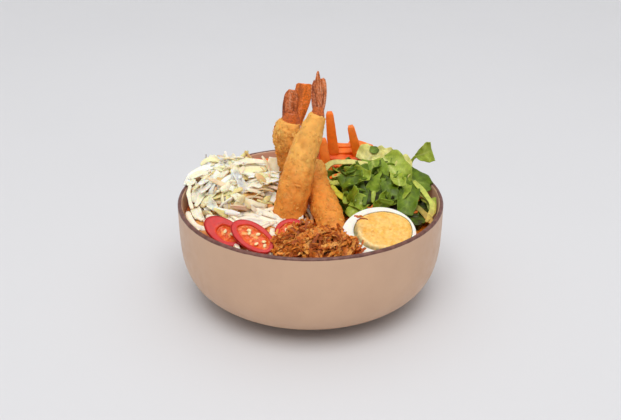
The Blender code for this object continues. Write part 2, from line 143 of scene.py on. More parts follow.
class Shapes:
    """Many small shapes gathered into one mesh, with a tint for each point."""

    def __init__(self):
        self.points, self.faces, self.tints = [], [], []
        self.count = 0

    def add(self, points, faces, tints):
        """tints is one colour, or one for each point."""
        self.points.append(np.asarray(points, float))
        self.faces += [[i + self.count for i in face] for face in faces]
        self.tints.append(np.broadcast_to(np.asarray(tints, float), self.points[-1].shape))
        self.count += len(self.points[-1])

    def finish(self, name, material, slot, nodes=(), thickness=0.0, sharp=180, contained=True):
        """The piece: it rides on the body, and stands for the CAD nodes."""
        points = np.concatenate(self.points)
        if contained:
            points = inside_bowl(points)
        mesh = bpy.data.meshes.new(name)
        mesh.from_pydata(points.tolist(), [], self.faces)
        bm = bmesh.new()
        bm.from_mesh(mesh)
        bmesh.ops.recalc_face_normals(bm, faces=bm.faces)
        bm.to_mesh(mesh)
        bm.free()
        tint = mesh.color_attributes.new("tint", "FLOAT_COLOR", "POINT")
        colours = np.ones((len(points), 4))
        colours[:, :3] = np.clip(np.concatenate(self.tints), 0, 1)
        tint.data.foreach_set("color", colours.ravel())
        mesh.shade_smooth()
        if sharp < 180:
            mesh.set_sharp_from_angle(angle=math.radians(sharp))
        mesh.materials.append(material)
        piece = bpy.data.objects.new(name, mesh)
        bpy.context.scene.collection.objects.link(piece)
        if thickness:
            solidify = piece.modifiers.new("thickness", "SOLIDIFY")
            solidify.thickness = thickness
            solidify.offset = 0.0
        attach(piece, "root")
        if nodes:
            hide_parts(*nodes)
        return piece


def loft(rings):
    """Points and faces of a closed tube through rings of equal count, with a fan over each end."""
    rings = np.asarray(rings, float)
    rows, sides = rings.shape[:2]
    i, k = np.meshgrid(np.arange(rows - 1), np.arange(sides), indexing="ij")
    beside = (k + 1) % sides
    corners = [i * sides + k, (i + 1) * sides + k, (i + 1) * sides + beside, i * sides + beside]
    faces = np.stack(corners, -1).reshape(-1, 4).tolist()
    last = (rows - 1) * sides
    for k in range(sides):
        beside = (k + 1) % sides
        faces.append([rows * sides, k, beside])
        faces.append([rows * sides + 1, last + beside, last + k])
    points = np.concatenate([rings.reshape(-1, 3), rings[:1].mean(1), rings[-1:].mean(1)])
    return points, faces


def ring_tints(tints):
    """Tints of a loft's rings, with those of its two end points added."""
    tints = np.asarray(tints, float)
    return np.concatenate([tints.reshape(-1, 3), tints[:1].mean(1), tints[-1:].mean(1)])


def grid(points):
    """Points and faces of an open sheet from rows of points."""
    points = np.asarray(points, float)
    rows, columns = points.shape[:2]
    i, k = np.meshgrid(np.arange(rows - 1), np.arange(columns - 1), indexing="ij")
    first = i * columns + k
    faces = np.stack([first, first + 1, first + columns + 1, first + columns], -1).reshape(-1, 4)
    return points.reshape(-1, 3), faces.tolist()


def turned(profile, steps):
    """Rings of a profile of (radius, height) points turned round the Z axis."""
    angles = math.tau * np.arange(steps) / steps
    return [np.stack([r * np.cos(angles), r * np.sin(angles), np.full(steps, z)], -1) for r, z in profile]


def sweep(shapes, path, face, width, depth, tint, sides=8, square=0.6):
    """A strand along path: each section is a rounded box, width across and depth along face.

    face, width, depth and tint are one value, or one for each point of the path.
    """
    path = np.asarray(path, float)
    count = len(path)
    along = unit(np.gradient(path, axis=0))
    side = unit(np.cross(along, np.broadcast_to(np.asarray(face, float), path.shape)))
    up = np.cross(side, along)
    angles = math.tau * (np.arange(sides) + 0.5) / sides
    across = np.sign(np.cos(angles)) * np.abs(np.cos(angles)) ** square
    over = np.sign(np.sin(angles)) * np.abs(np.sin(angles)) ** square
    width = np.broadcast_to(np.asarray(width, float), count)[:, None, None] / 2
    depth = np.broadcast_to(np.asarray(depth, float), count)[:, None, None] / 2
    rings = path[:, None] + side[:, None] * across[:, None] * width + up[:, None] * over[:, None] * depth
    tints = np.broadcast_to(np.asarray(tint, float), (count, 3))
    shapes.add(*loft(rings), ring_tints(np.repeat(tints[:, None], sides, 1)))


class Skin:
    """The surface of a CAD node, to lay things on."""

    def __init__(self, node):
        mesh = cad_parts[node].data
        corners = [vertex.co.copy() for vertex in mesh.vertices]
        self.polygons = [(p.center.copy(), p.normal.copy(), p.area) for p in mesh.polygons]
        self.tree = BVHTree.FromPolygons(corners, [tuple(p.vertices) for p in mesh.polygons])

    def near(self, point):
        place, normal, _, _ = self.tree.find_nearest(Vector(point))
        return place, normal

    def places(self, rng, count, slope=0.0, level=0.0):
        """count (place, normal) pairs, spread by area over what faces up more than slope, above level."""
        open_faces = [p for p in self.polygons if p[1].z > slope and p[0].z > level]
        weights = [p[2] for p in open_faces]
        spread = 0.003
        found = []
        for centre, _, _ in rng.choices(open_faces, weights, k=count):
            shift = Vector([rng.uniform(-spread, spread) for _ in range(3)])
            found.append(self.near(centre + shift))
        return found

    def walk(self, start, heading, length, count, turn=0.0):
        """Points and normals of a path over the surface that turns by turn, in radians, along its length."""
        place, normal = self.near(start)
        step = length / (count - 1)
        points, normals = [], []
        for _ in range(count):
            points.append(tuple(place))
            normals.append(tuple(normal))
            heading = heading - normal * heading.dot(normal)
            if heading.length < 1e-6:
                heading = normal.orthogonal()
            heading = turned_about(heading.normalized(), normal, turn / count)
            place, facing = self.near(place + heading * step)
            normal = normal.lerp(facing, 0.45).normalized()
        return np.array(points), np.array(normals)


def random_heading(rng, normal):
    return turned_about(normal.orthogonal().normalized(), normal, rng.uniform(0, math.tau))


def fine_copy(node, pitch, smoothing=4):
    """Points, faces and normals of a CAD node's surface, rounded and laid out on an even grid."""
    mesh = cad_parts[node].data.copy()
    bm = bmesh.new()
    bm.from_mesh(mesh)
    bmesh.ops.remove_doubles(bm, verts=bm.verts, dist=0.00001)
    bm.to_mesh(mesh)
    bm.free()
    copy = bpy.data.objects.new(node + "_copy", mesh)
    bpy.context.scene.collection.objects.link(copy)
    remesh = copy.modifiers.new("even_grid", "REMESH")
    remesh.mode = "VOXEL"
    remesh.voxel_size = pitch
    smooth = copy.modifiers.new("rounding", "SMOOTH")
    smooth.factor = 0.5
    smooth.iterations = smoothing
    fine = copy.evaluated_get(bpy.context.evaluated_depsgraph_get()).to_mesh()
    points = np.zeros(len(fine.vertices) * 3)
    fine.vertices.foreach_get("co", points)
    normals = np.zeros(len(fine.vertices) * 3)
    fine.vertex_normals.foreach_get("vector", normals)
    faces = [list(p.vertices) for p in fine.polygons]
    bpy.data.objects.remove(copy)
    return points.reshape(-1, 3), faces, normals.reshape(-1, 3)


def noise_at(points, pitch, seed=0.0):
    """Smooth noise from -1 to 1 at each point, with lumps about pitch wide."""
    return np.array([noise.noise(Vector(p) / pitch + Vector((seed, seed, seed))) for p in points])


def add_core(shapes, node, shrink, tint, dark, pitch=0.0016):
    """The hidden inside of a heap: the CAD solid, drawn in and roughened, with painted shade: it is darker where it
    dips in deeper.
    """
    points, faces, normals = fine_copy(node, pitch)
    rough = noise_at(points, 0.004)
    points = points + normals * (rough[:, None] * 0.0012 - shrink)
    # painted shade: dark is the colour of the deepest dips
    shapes.add(points, faces, mix(dark, tint, ramp(rough, -0.5, 0.5)))


def flat_face(node):
    """A CAD disc's cut face: its centre, long way, short way and normal, and the disc's lows and highs in them."""
    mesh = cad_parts[node].data
    facing = {}
    for polygon in mesh.polygons:
        key = tuple(round(c, 2) for c in polygon.normal)
        facing.setdefault(key, []).append(polygon)
    upward = [group for key, group in facing.items() if key[2] > 0]
    face = max(upward, key=lambda group: sum(p.area for p in group))
    normal = unit(sum(np.array(p.normal) * p.area for p in face))
    points = np.array([mesh.vertices[i].co for p in face for i in p.vertices])
    level = points - points.mean(0)
    long_way = np.linalg.eigh(level.T @ level)[1][:, -1]
    long_way = unit(long_way - normal * long_way.dot(normal)) * (1 if long_way[0] > 0 else -1)
    short_way = np.cross(normal, long_way)
    everything = np.array([v.co for v in mesh.vertices])
    axes = np.array([long_way, short_way, normal])
    lows, highs = (everything @ axes.T).min(0), (everything @ axes.T).max(0)
    middle = (lows + highs) / 2
    centre = axes.T @ np.array([middle[0], middle[1], highs[2]])
    return centre, axes, (highs - lows) / 2


# ---------------------------------------------------------------- materials


def add_node(tree, kind, inputs=None, **settings):
    """A shader node with its settings, its inputs' values and its incoming links."""
    node = tree.nodes.new(kind)
    for name, value in settings.items():
        setattr(node, name, value)
    for name, value in (inputs or {}).items():
        if isinstance(value, bpy.types.NodeSocket):
            tree.links.new(value, node.inputs[name])
        else:
            node.inputs[name].default_value = value
    return node


def speckle(tree, size, low, high, detail=3.0, start=0.35, end=0.65):
    """A noise of this grain size over the object, spread from low to high."""
    place = add_node(tree, "ShaderNodeTexCoord").outputs["Object"]
    grain = add_node(tree, "ShaderNodeTexNoise", {"Vector": place, "Scale": 1 / size, "Detail": detail})
    spread = {"Value": grain.outputs["Fac"], "From Min": start, "From Max": end, "To Min": low, "To Max": high}
    return add_node(tree, "ShaderNodeMapRange", spread).outputs["Result"]


def new_material(name, roughness, grain, depth, wet=0.0, glow=0.0, glow_depth=0.002, sheen=0.0):
    """A material with rough patches and a bumpy surface, whose base colour is still to be set."""
    material = bpy.data.materials.new(name)
    material.use_nodes = True
    tree = material.node_tree
    shader = tree.nodes["Principled BSDF"]
    rough = speckle(tree, grain * 5, roughness * 0.8, min(1, roughness * 1.25))
    tree.links.new(rough, shader.inputs["Roughness"])
    height = speckle(tree, grain, 0.0, 1.0, start=0.2, end=0.8)
    bump = add_node(tree, "ShaderNodeBump", {"Height": height, "Distance": depth, "Strength": 1.0})
    tree.links.new(bump.outputs["Normal"], shader.inputs["Normal"])
    shader.inputs["Coat Weight"].default_value = wet
    shader.inputs["Coat Roughness"].default_value = 0.12
    shader.inputs["Specular IOR Level"].default_value = 0.3
    shader.inputs["Subsurface Weight"].default_value = glow
    shader.inputs["Subsurface Scale"].default_value = glow_depth
    shader.inputs["Sheen Weight"].default_value = sheen
    return material, tree, shader


def food(name, roughness=0.5, grain=0.001, depth=0.0001, mottle=0.12, patch=0.004, **more):
    """A material coloured by the mesh's own tint, mottled in patches."""
    material, tree, shader = new_material(name, roughness, grain, depth, **more)
    tint = add_node(tree, "ShaderNodeVertexColor", layer_name="tint").outputs["Color"]
    shade = speckle(tree, patch, 1 - mottle, 1 + mottle, detail=5.0)
    scaled = add_node(tree, "ShaderNodeVectorMath", operation="SCALE")
    tree.links.new(tint, scaled.inputs["Vector"])
    tree.links.new(shade, scaled.inputs["Scale"])
    tree.links.new(scaled.outputs["Vector"], shader.inputs["Base Color"])
    shader.inputs["Subsurface Radius"].default_value = (1.0, 0.55, 0.3)
    return material


def glaze():
    """The bowl's satin glaze, with a brown line painted over its rim."""
    material, tree, shader = new_material("bowl_glaze", 0.42, 0.0012, 0.00002, wet=0.08)
    place = add_node(tree, "ShaderNodeTexCoord").outputs["Object"]
    parts = add_node(tree, "ShaderNodeSeparateXYZ", {"Vector": place})
    level = add_node(tree, "ShaderNodeCombineXYZ", {"X": parts.outputs["X"], "Y": parts.outputs["Y"]})
    radius = add_node(tree, "ShaderNodeVectorMath", {0: level.outputs["Vector"]}, operation="LENGTH")
    wander = speckle(tree, 0.012, -0.00012, 0.00012)
    band = None
    for value, edge in ((parts.outputs["Z"], BOWL_HEIGHT - 0.0015), (radius.outputs["Value"], RIM_RADIUS - 0.0025)):
        moved = add_node(tree, "ShaderNodeMath", {0: value, 1: wander}, operation="ADD").outputs["Value"]
        limits = {"Value": moved, "From Min": edge - 0.0001, "From Max": edge + 0.0001}
        share = add_node(tree, "ShaderNodeMapRange", limits).outputs["Result"]
        if band is not None:
            share = add_node(tree, "ShaderNodeMath", {0: band, 1: share}, operation="MULTIPLY").outputs["Value"]
        band = share
    body = add_node(tree, "ShaderNodeMix", {"Factor": speckle(tree, 0.02, 0.0, 1.0)}, data_type="RGBA")
    body.inputs[6].default_value = (*GLAZE_LIGHT, 1)
    body.inputs[7].default_value = (*GLAZE_DARK, 1)
    line = add_node(tree, "ShaderNodeMix", {"Factor": speckle(tree, 0.003, 0.0, 1.0)}, data_type="RGBA")
    line.inputs[6].default_value = (*RIM_LIGHT, 1)
    line.inputs[7].default_value = (*RIM_DARK, 1)
    both = add_node(tree, "ShaderNodeMix", {"Factor": band}, data_type="RGBA")
    tree.links.new(body.outputs[2], both.inputs[6])
    tree.links.new(line.outputs[2], both.inputs[7])
    tree.links.new(both.outputs[2], shader.inputs["Base Color"])
    return material


GLAZE_LIGHT = srgb(211, 174, 144)
GLAZE_DARK = srgb(206, 169, 140)
RIM_LIGHT = srgb(124, 84, 74)
RIM_DARK = srgb(98, 62, 56)

MATERIALS = {
    "bowl": glaze(),
    "broth": food("broth", 0.10, 0.004, 0.00005, mottle=0.15, patch=0.008, wet=0.5, glow=0.4, glow_depth=0.004),
    "batter": food("batter", 0.62, 0.0006, 0.00010, mottle=0.08, patch=0.005, glow=0.35, glow_depth=0.002),
    "tail": food("prawn_tail", 0.38, 0.0005, 0.00010, mottle=0.25, patch=0.0012, wet=0.15, glow=0.1),
    "white": food("egg_white", 0.30, 0.0015, 0.00005, mottle=0.02, patch=0.006, wet=0.25, glow=0.5, glow_depth=0.004),
    "yolk": food("egg_yolk", 0.75, 0.0006, 0.00010, mottle=0.10, patch=0.0018, glow=0.3, glow_depth=0.002),
    "chilli": food("chilli", 0.34, 0.0012, 0.00005, mottle=0.10, patch=0.003, wet=0.08, glow=0.15, glow_depth=0.002),
    "pulp": food("chilli_core", 0.34, 0.0006, 0.00010, mottle=0.15, patch=0.0012, wet=0.2, glow=0.4),
    "carrot": food("carrot", 0.46, 0.0006, 0.00005, mottle=0.10, patch=0.003, wet=0.05, glow=0.2, glow_depth=0.002),
    "cabbage": food("cabbage", 0.42, 0.0008, 0.00004, mottle=0.05, patch=0.004, wet=0.1, glow=0.5, glow_depth=0.003),
    "lettuce": food("lettuce", 0.46, 0.0006, 0.00006, mottle=0.16, patch=0.0025, wet=0.05, glow=0.15, glow_depth=0.001),
    "shallot": food("fried_shallots", 0.55, 0.0005, 0.00010, mottle=0.25, patch=0.0015, wet=0.05, glow=0.3),
    "noodle": food("noodles", 0.30, 0.0020, 0.00003, mottle=0.04, patch=0.005, wet=0.3, glow=0.4, glow_depth=0.003),
}

# ---------------------------------------------------------------- camera, floor and lights

CAMERA_ELEVATION = math.radians(25.65)
CAMERA_DISTANCE = 0.5773
CAMERA_TARGET = Vector((0, 0, 0.0567))


def make_camera():
    data = bpy.data.cameras.new("camera")
    data.lens = 50
    data.sensor_width = 36
    camera = bpy.data.objects.new("camera", data)
    level, rise = math.cos(CAMERA_ELEVATION), math.sin(CAMERA_ELEVATION)
    camera.location = CAMERA_TARGET + Vector((0, -level, rise)) * CAMERA_DISTANCE
    camera.rotation_euler = (math.pi / 2 - CAMERA_ELEVATION, 0, 0)
    bpy.context.scene.collection.objects.link(camera)
    bpy.context.scene.camera = camera


def make_floor():
    """A round pale floor that turns up far from the bowl, so that no edge shows behind it."""
    radii = np.concatenate([np.linspace(0.02, 2.5, 30), np.linspace(2.6, 3.2, 8)])
    heights = 1.2 * np.clip((radii - 2.5) / 0.7, 0, 1) ** 2
    rings = turned(list(zip(radii, heights)), 96)
    points, faces = grid([np.concatenate([ring, ring[:1]]) for ring in rings])
    centre = len(points)
    points = np.concatenate([points, [[0, 0, 0]]])
    faces += [[centre, k, k + 1] for k in range(96)]
    mesh = bpy.data.meshes.new("floor")
    mesh.from_pydata(points.tolist(), [], faces)
    mesh.shade_smooth()
    floor = bpy.data.objects.new("floor", mesh)
    material, tree, shader = new_material("floor", 0.75, 0.03, 0.0)
    shade = add_node(tree, "ShaderNodeMix", {"Factor": speckle(tree, 0.6, 0.0, 1.0)}, data_type="RGBA")
    shade.inputs[6].default_value = (*FLOOR_LIGHT, 1)
    shade.inputs[7].default_value = (*FLOOR_DARK, 1)
    tree.links.new(shade.outputs[2], shader.inputs["Base Color"])
    shader.inputs["Specular IOR Level"].default_value = 0.2
    mesh.materials.append(material)
    bpy.context.scene.collection.objects.link(floor)


FLOOR_LIGHT = (0.685, 0.682, 0.692)
FLOOR_DARK = (0.675, 0.672, 0.682)


def add_softbox(name, place, size, power, colour=(1, 1, 1)):
    data = bpy.data.lights.new(name, "AREA")
    data.shape = "SQUARE"
    data.size = size
    data.energy = power
    data.color = colour
    lamp = bpy.data.objects.new(name, data)
    lamp.location = place
    lamp.rotation_euler = (CAMERA_TARGET - Vector(place)).to_track_quat("-Z", "Y").to_euler()
    bpy.context.scene.collection.objects.link(lamp)


def make_lights():
    """A sky that is brightest overhead, and a softbox above the camera."""
    level, rise = math.cos(SOFTBOX_ELEVATION), math.sin(SOFTBOX_ELEVATION)
    add_softbox("front_softbox", Vector((0, -level, rise)) * SOFTBOX_DISTANCE, SOFTBOX_SIZE, SOFTBOX_POWER)
    world = bpy.data.worlds.new("studio")
    world.use_nodes = True
    tree = world.node_tree
    direction = add_node(tree, "ShaderNodeTexCoord").outputs["Generated"]
    height = add_node(tree, "ShaderNodeSeparateXYZ", {"Vector": direction}).outputs["Z"]
    square = add_node(tree, "ShaderNodeMath", {0: height, 1: height}, operation="MULTIPLY").outputs["Value"]
    spread = {"Value": square, "To Min": SKY_LOW, "To Max": SKY_HIGH}
    strength = add_node(tree, "ShaderNodeMapRange", spread).outputs["Result"]
    background = tree.nodes["Background"]
    background.inputs["Color"].default_value = (0.98, 0.985, 1.0, 1)
    tree.links.new(strength, background.inputs["Strength"])
    bpy.context.scene.world = world
    bpy.context.scene.view_settings.view_transform = "Standard"


SOFTBOX_ELEVATION = math.radians(66)
SOFTBOX_DISTANCE = 2.6
SOFTBOX_SIZE = 2.0
SOFTBOX_POWER = 34.2
SKY_LOW = 0.18
SKY_HIGH = 1.28


# ---------------------------------------------------------------- bowl and broth

BOWL_STEPS = 192


def belly_curve(inset, floor, top, bottom_radius, count):
    """Points of the belly from height top down to where its curve is bottom_radius wide."""
    widest, deepest = RIM_RADIUS - inset, BELLY_DEPTH - floor
    first = math.asin(((BOWL_HEIGHT - top) / deepest) ** (BELLY_POWER_Z / 2))
    last = math.acos((bottom_radius / widest) ** (BELLY_POWER_R / 2))
    turns = np.linspace(first, last, count)
    radii = widest * np.cos(turns) ** (2 / BELLY_POWER_R)
    return list(zip(radii, BOWL_HEIGHT - deepest * np.sin(turns) ** (2 / BELLY_POWER_Z)))


def make_bowl():
    middle, lip_centre = RIM_RADIUS - LIP / 2, BOWL_HEIGHT - LIP / 2
    turns = np.linspace(0, math.pi, 13)
    lip = list(zip(middle - np.cos(turns) * LIP / 2, lip_centre + np.sin(turns) * LIP / 2))
    inner = belly_curve(WALL, FLOOR, BOWL_HEIGHT - 0.008, 0.030, 26)
    outer = belly_curve(0.0, 0.0, BOWL_HEIGHT - 0.012, FOOT_RADIUS + 0.003, 32)
    floor = [(radius, FOOT_HEIGHT + FLOOR) for radius in (0.001, 0.010, 0.020)]
    foot_in = FOOT_RADIUS - FOOT_WIDTH
    foot = [
        (FOOT_RADIUS, FOOT_HEIGHT),
        (FOOT_RADIUS - 0.0002, 0.0006),
        (FOOT_RADIUS - 0.0008, 0.0),
        (foot_in + 0.0003, 0.0),
        (foot_in - 0.0004, 0.0006),
        (foot_in - 0.0010, FOOT_RECESS),
        (foot_in - 0.0080, FOOT_RECESS),
        (0.001, FOOT_RECESS),
    ]
    shapes = Shapes()
    profile = floor + inner[::-1] + lip + outer + foot
    shapes.add(*loft(turned(profile, BOWL_STEPS)), GLAZE_LIGHT)
    shapes.finish("bowl_glazed", MATERIALS["bowl"], "bowl_glaze", ["bowl"], sharp=60, contained=False)


BROTH_ORANGE = srgb(222, 118, 30)
BROTH_RED = srgb(192, 78, 10)
OIL = srgb(236, 150, 44)


def make_broth():
    """The soup: its surface rises a little at the wall, and drops of oil float on it."""
    into_wall = 0.0008
    edge = float(inner_radius(BROTH_LEVEL))
    radii = np.concatenate([np.linspace(0.001, edge - 0.003, 60), np.linspace(edge - 0.0025, edge + into_wall, 8)])
    rise = 0.0006 * ramp(radii, edge - 0.003, edge) ** 2
    wall = belly_curve(WALL - into_wall, FLOOR - into_wall, BROTH_LEVEL - 0.004, 0.030, 14)
    profile = list(zip(radii, BROTH_LEVEL + rise)) + wall + [(0.001, wall[-1][1])]
    points, faces = loft(turned(profile, 160))
    on_top = points[:, 2] > BROTH_LEVEL - 0.001
    patches = noise_at(points, 0.012)
    points[:, 2] += on_top * 0.00012 * noise_at(points, 0.006, 5.0)
    shapes = Shapes()
    shapes.add(points, faces, mix(BROTH_RED, BROTH_ORANGE, ramp(patches, -0.5, 0.4)))
    rng = seeded("oil")
    for _ in range(260):
        turn, radius = rng.uniform(0, math.tau), edge * math.sqrt(rng.uniform(0.02, 0.98))
        size = 0.0004 + 0.0016 * rng.random() ** 3
        drop = [(size * share, BROTH_LEVEL + size * height) for share, height in OIL_DROP]
        ring_points, ring_faces = loft(turned(drop, 14))
        ring_points[:, :2] += (radius * math.cos(turn), radius * math.sin(turn))
        shapes.add(ring_points, ring_faces, mix(OIL, BROTH_ORANGE, rng.random() * 0.6))
    shapes.finish("broth_soup", MATERIALS["broth"], "broth", ["broth"], contained=False)


# radius and height of an oil drop's section, as shares of its radius
OIL_DROP = ((0.05, 0.26), (0.5, 0.22), (0.85, 0.12), (1.0, 0.0), (0.8, -0.1), (0.05, -0.12))

# ---------------------------------------------------------------- prawns

CRUST_LIGHT = srgb(248, 180, 88)
CRUST_GOLD = srgb(232, 146, 56)
CRUST_BROWN = srgb(204, 108, 32)
CRUST_PITCH = 0.00062


def crust_height(points, number):
    """Height of the batter at each point: soft lumps, with crumbs on them."""
    lumps = noise_at(points, 0.0060, number)
    crumbs = 1 - 2 * np.abs(noise_at(points, 0.0024, 4.0 + number))
    grit = noise_at(points, 0.0011, 8.0 + number)
    return 0.0009 * lumps + 0.00026 * crumbs + 0.00016 * grit


def add_flake(shapes, place, normal, size, tint, rng):
    """An angular crumb that lies on the surface, partly sunk in it."""
    lean = Vector(normal) + Vector([rng.uniform(-0.6, 0.6) for _ in range(3)])
    lean.normalize()
    side = random_heading(rng, lean)
    count = rng.choice((4, 5, 6))
    stretch = rng.uniform(1.0, 2.0)
    points = [place + lean * size * rng.uniform(0.3, 0.7)]
    for k in range(count):
        turn = math.tau * (k + rng.uniform(-0.25, 0.25)) / count
        reach = size * rng.uniform(0.55, 1.1)
        across = side * math.cos(turn) * stretch + lean.cross(side) * math.sin(turn)
        points.append(place + across * reach + lean * size * rng.uniform(-0.25, 0.25))
    points.append(place - lean * size * 0.4)
    faces = []
    for k in range(count):
        beside = 1 + (k + 1) % count
        faces.append([0, 1 + k, beside])
        faces.append([count + 1, beside, 1 + k])
    shapes.add([tuple(p) for p in points], faces, tint)


def make_crust(number, flakes, shag, pale_from):
    """A prawn's batter: a lumpy skin with loose crumbs. It is pale above the share pale_from of its height,
    and shag is the share of large crumbs."""
    node = f"prawn_{number}_body"
    rng = seeded(node)
    points, faces, normals = fine_copy(node, CRUST_PITCH, smoothing=14)
    height = crust_height(points, number)
    points = points + normals * (height + 0.0002)[:, None]
    low, high = BOXES[node][0].z, BOXES[node][1].z
    share = (points[:, 2] - low) / (high - low)
    patches = noise_at(points, 0.008, 3.0 + number) + 0.5 * noise_at(points, 0.003, 6.0 + number)
    tints = mix(CRUST_GOLD, CRUST_LIGHT, ramp(share + 0.12 * patches, pale_from - 0.22, pale_from + 0.10))
    # painted shade: the batter is drawn towards brown in its hollows; the brown patches are its own colour
    hollow_shade = ramp(-height / 0.0008 + 0.4 * patches, 0.2, 1.5)
    tints = mix(tints, CRUST_BROWN, np.clip(0.15 * hollow_shade + 0.30 * ramp(-patches, 0.2, 0.9), 0, 1))
    shapes = Shapes()
    shapes.add(points, faces, tints)
    for i in rng.sample(range(len(points)), flakes):
        size = rng.uniform(0.00030, 0.00070)
        if rng.random() < shag:
            size *= rng.uniform(1.8, 3.2)
        tint = mix(mix(tints[i], CRUST_LIGHT, rng.uniform(0, 0.6)), CRUST_BROWN, rng.choice((0, 0, 0, 0.35)))
        add_flake(shapes, Vector(points[i]), normals[i], size, tint, rng)
    shapes.finish(f"prawn_{number}_crust", MATERIALS["batter"], "batter", [node], sharp=45)


# share of a tail blade's length, share of its greatest width
POINTED_BLADE = ((0.0, 0.70), (0.25, 0.92), (0.5, 1.0), (0.75, 0.78), (0.92, 0.42), (1.0, 0.14))
ROUND_BLADE = ((0.0, 0.75), (0.3, 0.95), (0.6, 1.0), (0.85, 0.90), (0.95, 0.68), (1.0, 0.35))
FAN_BLADE = ((0.0, 0.55), (0.3, 0.72), (0.6, 0.92), (0.85, 1.0), (0.96, 0.92), (1.0, 0.72))
TAIL_ORANGE = srgb(234, 122, 36)
TAIL_BROWN = srgb(172, 84, 44)
TAIL_PALE = srgb(232, 172, 134)
TAIL_DARK = srgb(104, 46, 24)


def add_blade(shapes, base, tip, half_width, half_depth, outline, warmth, pale, bend=0.0):
    """A tail blade: a flat shell with a midrib, fine uneven streaks along it, speckles, and a ragged tip.

    warmth turns it from brown to orange, and pale is the share of it that is pale.
    """
    rows, sides = 44, 40
    share = np.linspace(0, 1, rows)
    path = np.array(base)[None] * (1 - share[:, None]) + np.array(tip)[None] * share[:, None]
    path[:, 0] += bend * np.sin(share * math.pi)
    along = unit(np.gradient(path, axis=0))
    side = unit(np.cross(along, (0, 1, 0)))
    face = np.cross(side, along)
    widths = half_width * np.interp(share, *zip(*outline))
    angles = math.tau * np.arange(sides) / sides
    across, over = np.cos(angles), np.sin(angles)
    grain = np.stack(np.broadcast_arrays(across[None] * 0.0036, np.sign(over)[None] * 0.002, share[:, None] * 0.0030), -1)
    grain = grain.reshape(-1, 3) + np.array(tip)
    streak = (noise_at(grain, 0.0016) + 0.6 * noise_at(grain, 0.0007, 3.0)).reshape(rows, sides)
    midrib = np.exp(-((across / 0.18) ** 2))
    depth = half_depth * (1.05 - 0.70 * share)[:, None] * (0.74 + 0.20 * streak + 0.30 * midrib[None])
    rings = path[:, None] + side[:, None] * (across[:, None] * widths[:, None, None])
    rings = rings + face[:, None] * (over * depth)[:, :, None]
    speck = noise_at(rings.reshape(-1, 3), 0.0009, 5.0).reshape(rows, sides)
    rings = rings + face[:, None] * (np.sign(over) * 0.00016 * speck)[:, :, None]
    torn = noise_at(rings.reshape(-1, 3), 0.0018, 9.0).reshape(rows, sides)
    rings = rings + along[:, None] * (TORN_TIP * ramp(share, 0.8, 1.0)[:, None] * torn)[:, :, None]
    shade = mix(TAIL_BROWN, TAIL_ORANGE, np.clip(warmth + 0.35 * speck + 0.30 * (share[:, None] - 0.5), 0, 1))
    shade = mix(shade, TAIL_PALE, np.clip(pale + 0.5 * streak + 0.7 * speck, 0, 0.8) * ramp(share, 0.0, 0.2)[:, None])
    edge = np.broadcast_to(np.abs(across) ** 6, (rows, sides))
    dark = ramp(-streak - 0.4 * speck, 0.15, 0.8) * (1 - 0.5 * warmth) + 0.3 * edge
    shade = mix(shade, TAIL_DARK, np.clip(dark, 0, 0.8))
    shapes.add(*loft(rings), ring_tints(shade))


TORN_TIP = 0.0014


def make_tail(number, base_share, radius, blades):
    """A tail: its last shell segment, and blades of (base and tip shares, half width, outline, warmth, pale, bend)."""
    node = f"prawn_{number}_tail"
    shapes = Shapes()
    for base, tip, half_width, outline, warmth, pale, bend in blades:
        add_blade(shapes, at(node, *base), at(node, *tip), half_width, 0.0021, outline, warmth, pale, bend)
    low, high = at(node, *base_share[0]), at(node, *base_share[1])
    steps = np.linspace(0, 1, 16)
    path = np.array([low.lerp(high, step) for step in steps])
    widths = 2 * radius * (1.0 - 0.35 * steps**2)
    tints = mix(TAIL_BROWN, TAIL_ORANGE, 0.35 + 0.3 * noise_at(path, 0.0012))
    sweep(shapes, path, (0, 1, 0), widths, widths * 0.8, tints, sides=24, square=1.0)
    shapes.finish(f"prawn_{number}_shell", MATERIALS["tail"], "prawn_tail", [node], contained=False)


# ---------------------------------------------------------------- egg

EGG_WHITE = srgb(244, 238, 226)
YOLK = srgb(248, 196, 108)
YOLK_DEEP = srgb(242, 184, 88)
YOLK_PALE = srgb(252, 228, 168)
YOLK_GREEN = srgb(150, 140, 96)
EGG_STEPS = 120
EGG_BLUNTNESS = 0.07


def egg_outline(angles, half_length, half_width):
    """Points of the egg's cut, blunt at its +long end."""
    x, y = np.cos(angles), np.sin(angles)
    return np.stack([x * half_length, y * half_width * (1 + EGG_BLUNTNESS * x)], -1)


